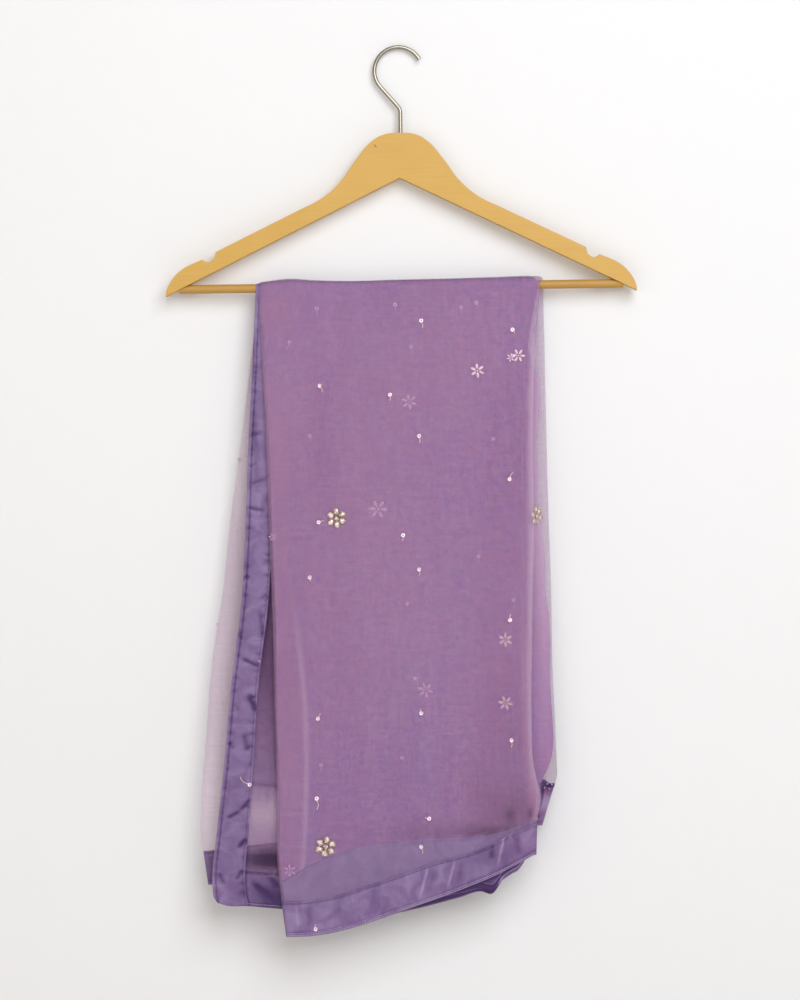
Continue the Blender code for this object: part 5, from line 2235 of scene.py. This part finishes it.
CORNER_BEADS = table(
    Motif,
    (139.2, 700.6, 0, 0.9), (141.8, 697, 0, 1), (144, 701.4, 0, 1.1), (146.4, 697.6, 0, 1),
    (144.6, 707.2, 0, 0.9),
)


FLOWER_KINDS = ("flower_stones", "flower_settings")


class Surface:
    """Finds places on a finished piece by looking at it from the front or the back."""

    def __init__(self, piece: Piece) -> None:
        """Reads the piece's faces."""
        corners = [vert.co for vert in piece.data.vertices]
        self.tree = BVHTree.FromPolygons(corners, [tuple(face.vertices) for face in piece.data.polygons])

    def find(self, across: float, drop: float, from_back: bool = False) -> tuple[Vector, Vector] | None:
        """Finds the first place met at a point seen square on.

        Args:
            across: The place across in millimetres.
            drop: The drop.
            from_back: Whether to look from behind.

        Returns:
            The place in metres and the face's outward direction, or None where the piece isn't.
        """
        away = 1.0 if from_back else -1.0
        start = Vector((across * MM, away, -drop * MM))
        hit, normal, _, _ = self.tree.ray_cast(start, Vector((0.0, -away, 0.0)))
        if hit is None:
            return None
        return hit, normal if normal.y * away > 0.0 else -normal


class Trimmings:
    """Gathers the places that small things are sewn at, then makes them by Geometry Nodes."""

    def __init__(self) -> None:
        """Starts with nothing sewn."""
        self.motifs: dict[str, list[tuple[Vector, Vector, float, float]]] = {}
        self.threads: dict[str, list[Points]] = {}

    def sew(
        self,
        kind: str,
        surface: Surface,
        motif: Motif,
        from_back: bool = False,
        lift: float = 0.1,
        facing: Vector | None = None,
    ) -> None:
        """Adds one motif.

        Args:
            kind: What to sew.
            surface: What to sew it to.
            motif: Its place, turn and size.
            from_back: Whether it's on the back.
            lift: Its distance from the surface.
            facing: Which way it faces, or None for square to the surface.
        """
        found = surface.find(motif.across, motif.drop, from_back)
        if found:
            place, normal = found
            spot = (place + normal * (lift * MM), facing or normal, math.radians(motif.turn), motif.size)
            self.motifs.setdefault(kind, []).append(spot)

    def lay(
        self,
        kind: str,
        surface: Surface,
        across: Points,
        drop: Points,
        from_back: bool = False,
        lift: float = 0.15,
    ) -> None:
        """Adds a thread along places on a surface.

        Args:
            kind: Which thread.
            surface: What it lies on.
            across: Its places across.
            drop: Their drops.
            from_back: Whether it's on the back.
            lift: Its distance from the surface.
        """
        found = [surface.find(*place, from_back) for place in zip(across.tolist(), drop.tolist())]
        points = [place + normal * (lift * MM) for place, normal in filter(None, found)]
        if len(points) > 1:
            self.threads.setdefault(kind, []).append(np.array([tuple(point) for point in points]))

    def sequin(self, surface: Surface, sequin: Sequin, place: str = "", from_back: bool = False) -> None:
        """Adds a sequin and the loose end of its thread.

        Args:
            surface: What to sew it to.
            sequin: Its place and its thread's tail.
            place: The ending of its pieces' names, empty for the outermost ones.
            from_back: Whether it's on the back.
        """
        self.sew("sequins" + place, surface, Motif(sequin.across, sequin.drop), from_back)
        lead = math.radians(sequin.tail_turn)
        steps = np.linspace(0.0, 1.0, 7)
        reach = 1.6 + sequin.tail * steps
        bow = 0.18 * sequin.tail * np.sin(math.pi * steps)
        across = sequin.across + reach * math.cos(lead) - bow * math.sin(lead)
        drop = sequin.drop - reach * math.sin(lead) - bow * math.cos(lead)
        self.lay("thread_tails" + place, surface, across, drop, from_back, 0.35)

    def motif_piece(self, kind: str, template: Piece, finish: TrimKind, tilt: float) -> Piece:
        """Makes every motif of one kind.

        Args:
            kind: Which kind.
            template: The motif, facing +Z, which is used up.
            finish: Its finish.
            tilt: How far each is tipped at random, in radians.

        Returns:
            The finished piece.
        """
        places, normals, turns, sizes = zip(*self.motifs[kind])
        mesh = bpy.data.meshes.new(kind)
        mesh.from_pydata([tuple(place) for place in places], [], [])
        facing = mesh.attributes.new("facing", "FLOAT_VECTOR", "POINT")
        facing.data.foreach_set("vector", [part for normal in normals for part in normal])
        number_points(mesh, turn=turns, size=sizes)
        obj = link(bpy.data.objects.new(kind + "_places", mesh))
        values = {"Motif": template, "Tilt": tilt, "Seed": 5, "Finish": finish.value.material()}
        piece = run_tree(obj, MotifTree().build(), values, kind)
        bpy.data.objects.remove(template, do_unlink=True)
        return piece

    def thread_piece(self, kind: str, radius: float, finish: TrimKind) -> Piece:
        """Makes the loose threads of one kind, as round wires, and returns them."""
        values = {"Radius": radius * MM, "Finish": finish.value.material(), "Sides": 6}
        return run_tree(spline_object(kind, self.threads[kind]), WireTree().build(), values, kind)

    def stitch_piece(self, kind: str, pitch: float, length: float, finish: TrimKind) -> Piece:
        """Makes the rows of stitches of one kind.

        Args:
            kind: Which kind.
            pitch: The stitches' spacing in millimetres.
            length: Their length.
            finish: Their finish.

        Returns:
            The finished piece.
        """
        values = {
            "Pitch": pitch * MM, "Length": length * MM, "Thickness": 0.5 * MM, "Seed": 9,
            "Finish": finish.value.material(),
        }
        return run_tree(spline_object(kind, self.threads[kind]), StitchTree().build(), values, kind)


@dataclass(frozen=True)
class FlowerShape:
    """A bead flower: six oval foiled stones in beaded gold settings round a smaller one."""

    petals: int = 6
    petal_centre: float = 6.2
    petal_length: float = 5.8
    petal_width: float = 4.7
    stone_height: float = 1.6
    rim: float = 0.5
    centre_radius: float = 1.8

    def oval(self, bm: bmesh.types.BMesh, place: Vector, length: float, width: float, turn: float) -> None:
        """Adds one domed stone.

        Args:
            bm: The flower's mesh.
            place: The stone's middle.
            length: Its length.
            width: Its width.
            turn: The way its long side runs, in radians.
        """
        made = bmesh.ops.create_uvsphere(bm, u_segments=9, v_segments=7, radius=0.5)
        c, s = math.cos(turn), math.sin(turn)
        for vert in made["verts"]:
            x, y, z = vert.co.x * length, vert.co.y * width, vert.co.z * 2.0 * self.stone_height * 0.6
            vert.co = Vector((x * c - y * s, x * s + y * c, max(z, -0.1))) + place

    def ring(self, bm: bmesh.types.BMesh, place: Vector, length: float, width: float, turn: float) -> None:
        """Adds one beaded setting round a stone, as a ring of small round grains.

        Args:
            bm: The flower's mesh.
            place: The stone's middle.
            length: The ring's length.
            width: Its width.
            turn: The way its long side runs, in radians.
        """
        grains = 16
        c, s = math.cos(turn), math.sin(turn)
        for grain in range(grains):
            angle = 2.0 * math.pi * grain / grains
            x, y = math.cos(angle) * length / 2, math.sin(angle) * width / 2
            made = bmesh.ops.create_uvsphere(bm, u_segments=6, v_segments=4, radius=self.rim)
            centre = Vector((x * c - y * s, x * s + y * c, self.rim * 0.8)) + place
            for vert in made["verts"]:
                vert.co = vert.co + centre

    def build(self, stones: bool) -> Piece:
        """Builds the stones, or else their settings, facing +Z and in metres.

        Args:
            stones: Whether to build the stones.

        Returns:
            The motif's object.
        """
        bm = bmesh.new()
        add = self.oval if stones else self.ring
        slack = -0.7 if stones else 0.1
        for petal in range(self.petals):
            turn = math.radians(90.0 + 360.0 * petal / self.petals)
            place = Vector((math.cos(turn), math.sin(turn), 0.0)) * self.petal_centre
            add(bm, place, self.petal_length + slack, self.petal_width + slack, turn)
        size = 2.0 * self.centre_radius
        add(bm, Vector((0.0, 0.0, 0.2)), size + slack, size + slack, 0.0)
        return template_object("flower", bm)


def template_object(name: str, bm: bmesh.types.BMesh) -> Piece:
    """Turns a motif drawn in millimetres to an object in metres.

    Args:
        name: Its name.
        bm: The motif, which is freed.

    Returns:
        The object.
    """
    bmesh.ops.scale(bm, vec=(MM, MM, MM), verts=bm.verts)
    mesh = bpy.data.meshes.new(name)
    bm.to_mesh(mesh)
    bm.free()
    return link(bpy.data.objects.new(name, mesh))


def star_shape() -> Piece:
    """Builds the thread star: six slim padded petals round a knot.

    Returns:
        The motif's object.
    """
    bm = bmesh.new()
    for petal in range(6):
        turn = math.radians(90.0 + 60.0 * petal)
        made = bmesh.ops.create_uvsphere(bm, u_segments=8, v_segments=6, radius=0.5)
        c, s = math.cos(turn), math.sin(turn)
        for vert in made["verts"]:
            x, y, z = vert.co.x * 5.8 + 4.2, vert.co.y * 2.7, vert.co.z * 0.6
            vert.co = Vector((x * c - y * s, x * s + y * c, max(z, -0.05)))
    knot = bmesh.ops.create_uvsphere(bm, u_segments=8, v_segments=6, radius=1.0)
    for vert in knot["verts"]:
        vert.co.z = max(vert.co.z * 0.35, -0.05)
    return template_object("star", bm)


def sequin_shape() -> Piece:
    """Builds the sequin, a shallow cup with a hole in it.

    Returns:
        The motif's object.
    """
    bm = bmesh.new()
    profile = ((0.4, 0.1), (1.2, 0.2), (1.85, 0.6), (1.95, 0.48), (1.2, 0.02), (0.4, -0.08))
    sides = 16
    rings = [
        [
            bm.verts.new((r * math.cos(2 * math.pi * i / sides), r * math.sin(2 * math.pi * i / sides), z))
            for i in range(sides)
        ]
        for r, z in profile
    ]
    for ring, after in zip(rings, rings[1:] + rings[:1]):
        for i in range(sides):
            j = (i + 1) % sides
            bm.faces.new((ring[i], after[i], after[j], ring[j]))
    bmesh.ops.recalc_face_normals(bm, faces=bm.faces)
    return template_object("sequin", bm)


def bead_shape() -> Piece:
    """Builds the small round bead.

    Returns:
        The motif's object.
    """
    bm = bmesh.new()
    bmesh.ops.create_uvsphere(bm, u_segments=10, v_segments=7, radius=1.0)
    return template_object("bead", bm)


@dataclass
class Embroidery:
    """All that is sewn to the cloth: bead flowers, sequins with loose thread ends, thread stars on the plies
    that show through, and the rows of stitches along the borders."""

    outer: Sequence[Piece]
    hidden: Sequence[Piece]
    end: Sequence[Piece]
    layer: EndLayer
    side_facing: Vector = field(default_factory=lambda: Vector((0.8, -0.6, 0.0)))  # round the right-hand fold
    back_seed: int = 77
    back_sequins: int = 30

    def sew_front(
        self, work: Trimmings, sheer: Surface, satin: Surface, inner: Surface, strip: Surface, corner: Surface
    ) -> None:
        """Sews the front's motifs, each on its own ply, and the beads at the back border's corner.

        Args:
            work: What gathers the trimmings.
            sheer: The sheer cloth.
            satin: The front border.
            inner: The hidden layers.
            strip: The upright border.
            corner: The back border.
        """
        for kinds, surface, motifs, lift, facing in (
            (FLOWER_KINDS, sheer, FRONT_FLOWERS, 0.1, None),
            (FLOWER_KINDS, inner, SIDE_FLOWERS, 0.1, self.side_facing),
            (("thread_stars_outer",), sheer, OUTER_STARS, 0.0, None),
            (("thread_stars",), inner, INNER_STARS, 0.0, None),
            (("thread_stars_deep",), inner, DEEP_STARS, -0.1, None),
            (("corner_beads",), corner, CORNER_BEADS, 0.5, None),
        ):
            for motif, kind in product(motifs, kinds):
                work.sew(kind, surface, motif, lift=lift, facing=facing)
        for surface, sequins, place in (
            (sheer, FRONT_SEQUINS, ""),
            (inner, INNER_SEQUINS, "_inner"),
            (strip, STRIP_SEQUINS, ""),
            (satin, BORDER_SEQUINS, ""),
            (sheer, SIDE_SEQUINS, "_inner"),
        ):
            for sequin in sequins:
                work.sequin(surface, sequin, place)

    def sew_back(self, work: Trimmings, sheer: Surface, inner: Surface) -> None:
        """Sews the back with the same motifs, spread evenly.

        Args:
            work: What gathers the trimmings.
            sheer: The sheer cloth.
            inner: The hidden layers.
        """
        random = np.random.default_rng(self.back_seed)
        for across, drop in ((-120.0, 420.0), (-10.0, 330.0), (90.0, 470.0), (-60.0, 600.0), (60.0, 660.0)):
            motif = Motif(across, drop, random.uniform(0.0, 60.0))
            for kind in FLOWER_KINDS:
                work.sew(kind, sheer, motif, True)
        for across, drop in ((-70.0, 300.0), (40.0, 400.0), (-30.0, 500.0), (100.0, 580.0), (-100.0, 640.0)):
            work.sew("thread_stars", inner, Motif(across, drop, random.uniform(0.0, 60.0)), True, 0.0)
        for count in range(self.back_sequins):
            across = -140.0 + 55.0 * (count % 6) + random.uniform(-16.0, 16.0)
            drop = 270.0 + 88.0 * (count // 6) + random.uniform(-30.0, 30.0)
            sequin = Sequin(across, drop, random.uniform(-130.0, -50.0), random.uniform(2.5, 6.0))
            work.sequin(sheer, sequin, from_back=True)

    def stitch(
        self, work: Trimmings, front: Surface, back: Surface, strip: Surface, end_hem: Surface
    ) -> None:
        """Runs the rows of stitches along the borders.

        Args:
            work: What gathers the trimmings.
            front: The front border.
            back: The back border.
            strip: The upright border.
            end_hem: The border along the end layer's hem.
        """
        down = np.linspace(236.0, 806.0, 200)
        work.lay("stitches_dark", strip, self.layer.left_edge(down) + self.layer.seam_inset, down)
        work.lay("stitches_dark", strip, self.layer.border_edge(down) - self.layer.right_seam_inset, down)
        over = np.linspace(-118.0, 133.0, 130)
        behind = np.linspace(-188.0, 150.0, 150)
        below = np.linspace(-150.0, -80.0, 60)
        for kind, surface, line, lower, across in (
            ("stitches_pale", front, FRONT_HEM, -1.2, over),
            ("stitches_pale", front, FRONT_HEM, -3.2, over),
            ("stitches_dark", front, FRONT_BORDER_TOP, 2.6, over),
            ("stitches_pale", back, BACK_HEM, -3.2, behind),
            ("stitches_dark", back, BACK_BORDER_TOP, 2.6, behind),
            ("stitches_pale", end_hem, END_HEM, -2.5, below),
            ("stitches_dark", end_hem, END_HEM, -30.5, below),
        ):
            work.lay(kind, surface, across, read_rows(line, "drop", across) + lower, surface is back)

    def build(self) -> list[Piece]:
        """Builds all the trimmings.

        Returns:
            The trimmings, one piece for each kind.
        """
        sheer, front, back = (Surface(piece) for piece in self.outer)
        inner = Surface(self.hidden[0])
        _, strip, end_hem = (Surface(piece) for piece in self.end)
        work = Trimmings()
        self.sew_front(work, sheer, front, inner, strip, back)
        self.sew_back(work, sheer, inner)
        self.stitch(work, front, back, strip, end_hem)
        flower = FlowerShape()
        pieces = [
            work.motif_piece("flower_stones", flower.build(True), TrimKind.CRYSTAL, 0.05),
            work.motif_piece("flower_settings", flower.build(False), TrimKind.GOLD, 0.05),
            work.motif_piece("thread_stars", star_shape(), TrimKind.ZARI, 0.0),
            work.motif_piece("thread_stars_outer", star_shape(), TrimKind.SOFT_ZARI, 0.0),
            work.motif_piece("thread_stars_deep", star_shape(), TrimKind.DULL_ZARI, 0.0),
            work.motif_piece("sequins", sequin_shape(), TrimKind.SEQUIN, 0.25),
            work.motif_piece("sequins_inner", sequin_shape(), TrimKind.DULL_ZARI, 0.1),
            work.motif_piece("corner_beads", bead_shape(), TrimKind.BEAD, 0.0),
            work.thread_piece("thread_tails", 0.28, TrimKind.ZARI),
            work.thread_piece("thread_tails_inner", 0.28, TrimKind.DULL_ZARI),
            work.stitch_piece("stitches_dark", 4.2, 2.6, TrimKind.STITCH),
            work.stitch_piece("stitches_pale", 2.5, 2.3, TrimKind.PALE_STITCH),
        ]
        pieces[0].data.shade_flat()  # the stones are cut with facets
        for piece in pieces:
            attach(piece, BODY)
        return pieces


# ---------------------------------------------------------------------------------------------------------
# The studio


@dataclass
class Studio:
    """A plain pale wall behind the hanger, a pale floor, soft daylight from above right, and the camera. The
    hanger's head nearly touches the wall, and the wall leans back from the cloth below it."""

    wall_gap: float = 4.5  # at the hook's crown
    wall_lean: float = 0.05  # the further gap for each unit down
    wall_top: float = 900.0
    wall_foot: float = -1900.0
    wall_width: float = 3.0
    floor_drop: float = 1250.0
    floor_size: float = 8.0
    distance: float = 3.0
    lens: float = 114.05
    centre: tuple[float, float] = (0.0019, -0.4269)

    def camera(self) -> None:
        """Adds the camera, level and square to the hanger."""
        data = bpy.data.cameras.new("camera")
        data.lens = self.lens
        data.sensor_width = 36.0
        camera = link(bpy.data.objects.new("camera", data))
        camera.location = (self.centre[0], -self.distance, self.centre[1])
        camera.rotation_euler = (math.radians(90.0), 0.0, 0.0)
        bpy.context.scene.camera = camera

    def plane(self, name: str, corners: Sequence[tuple[float, float, float]]) -> Piece:
        """Adds one flat face of the studio.

        Args:
            name: Its name.
            corners: Its corners in order, in metres.

        Returns:
            The face's object.
        """
        mesh = bpy.data.meshes.new(name)
        mesh.from_pydata(list(corners), [], [(0, 1, 2, 3)])
        return link(bpy.data.objects.new(name, mesh))

    def wall_corners(self) -> list[tuple[float, float, float]]:
        """Works out the leaning wall's corners.

        Returns:
            The corners in metres, anticlockwise as seen from the front.
        """
        half = self.wall_width / 2
        low, high = self.wall_foot * MM, self.wall_top * MM
        near = self.wall_gap * MM - self.wall_lean * high
        far = self.wall_gap * MM - self.wall_lean * low
        return [(-half, far, low), (half, far, low), (half, near, high), (-half, near, high)]

    def paint(self, name: str, colour: str, one_sided: bool) -> Material:
        """Makes a matt paint.

        Args:
            name: The paint's name.
            colour: Its colour.
            one_sided: Whether it's clear from behind, so that the back of the object can be seen.

        Returns:
            The paint.
        """
        material, tree, shader = new_surface(name)
        set_plain(shader, {"Base Color": srgb(colour), "Roughness": 0.9, "Specular IOR Level": 0.1})
        if one_sided:
            behind = add_node(tree, "ShaderNodeNewGeometry").outputs["Backfacing"]
            clear = add_node(tree, "ShaderNodeBsdfTransparent").outputs[0]
            mixed = add_node(tree, "ShaderNodeMixShader", {}, {0: behind, 1: shader.outputs[0], 2: clear})
            tree.links.new(mixed.outputs[0], tree.nodes["Material Output"].inputs["Surface"])
        return material

    def light(
        self, name: str, place: tuple[float, float, float], size: float, watts: float, colour: str
    ) -> None:
        """Adds a square soft light aimed at the middle of the cloth.

        Args:
            name: Its name.
            place: Where it stands, in metres.
            size: The length of its side, in metres.
            watts: Its power.
            colour: Its colour.
        """
        data = bpy.data.lights.new(name, "AREA")
        data.shape = "SQUARE"
        data.size = size
        data.energy = watts
        data.color = srgb(colour)[:3]
        lamp = link(bpy.data.objects.new(name, data))
        lamp.location = place
        aim = Vector((0.0, 0.0, -0.45)) - Vector(place)
        lamp.rotation_euler = aim.to_track_quat("-Z", "Y").to_euler()

    def build(self) -> None:
        """Builds the stage, the lights and the camera."""
        wall = self.plane("backdrop_wall", self.wall_corners())
        wall.data.materials.append(self.paint("wall_matt_white", "eff1f3", True))
        wall.visible_shadow = False
        wall.visible_diffuse = False
        half, level = self.floor_size / 2, -self.floor_drop * MM
        square = [(-half, -half, level), (half, -half, level), (half, half, level), (-half, half, level)]
        floor = self.plane("floor", square)
        floor.data.materials.append(self.paint("floor_matt_pale", "ebe9e6", False))
        self.light("key_above_right", (0.8, -2.6, 0.95), 2.2, 68.0, "fbfcff")
        self.light("fill_left", (-1.2, -2.4, -0.6), 2.0, 11.5, "fff2e6")
        self.light("fill_back", (0.3, 2.4, 0.6), 1.8, 14.0, "ffffff")
        world = bpy.data.worlds.new("soft room")
        world.use_nodes = True
        world.node_tree.nodes["Background"].inputs["Color"].default_value = srgb("f9f0e7")
        world.node_tree.nodes["Background"].inputs["Strength"].default_value = 0.36
        bpy.context.scene.world = world
        bpy.context.scene.view_settings.view_transform = "Standard"
        self.camera()


def main() -> None:
    """Builds the object and the studio, and reports each piece."""
    logging.basicConfig(level=logging.INFO, format="%(message)s")
    studio = Studio()
    studio.build()
    drape = Drape()
    sheer = Organza().material()
    layered = LayeredOrganza().material()
    satin = Satin().material()
    hanger = Hanger(drape.bar).build(
        VarnishedWood(nick=(-21.4, -6.5, -92.4)).material(),
        VarnishedWood("bar_wood_varnished", "b98d42", "a17634", "c0954a").material(),
        DrawnWire().material(),
    )
    outer = OuterLayer(drape).build(sheer, satin)
    hidden = HiddenLayers(drape).build(layered, satin)
    end = EndLayer(drape).build(sheer, satin)
    trimmings = Embroidery(outer, hidden, end, EndLayer(drape)).build()
    for piece in [*hanger, *outer, *hidden, *end, *trimmings]:
        log.info("%s: %d faces", piece.name, len(piece.data.polygons))


if __name__ == "__main__":
    main()
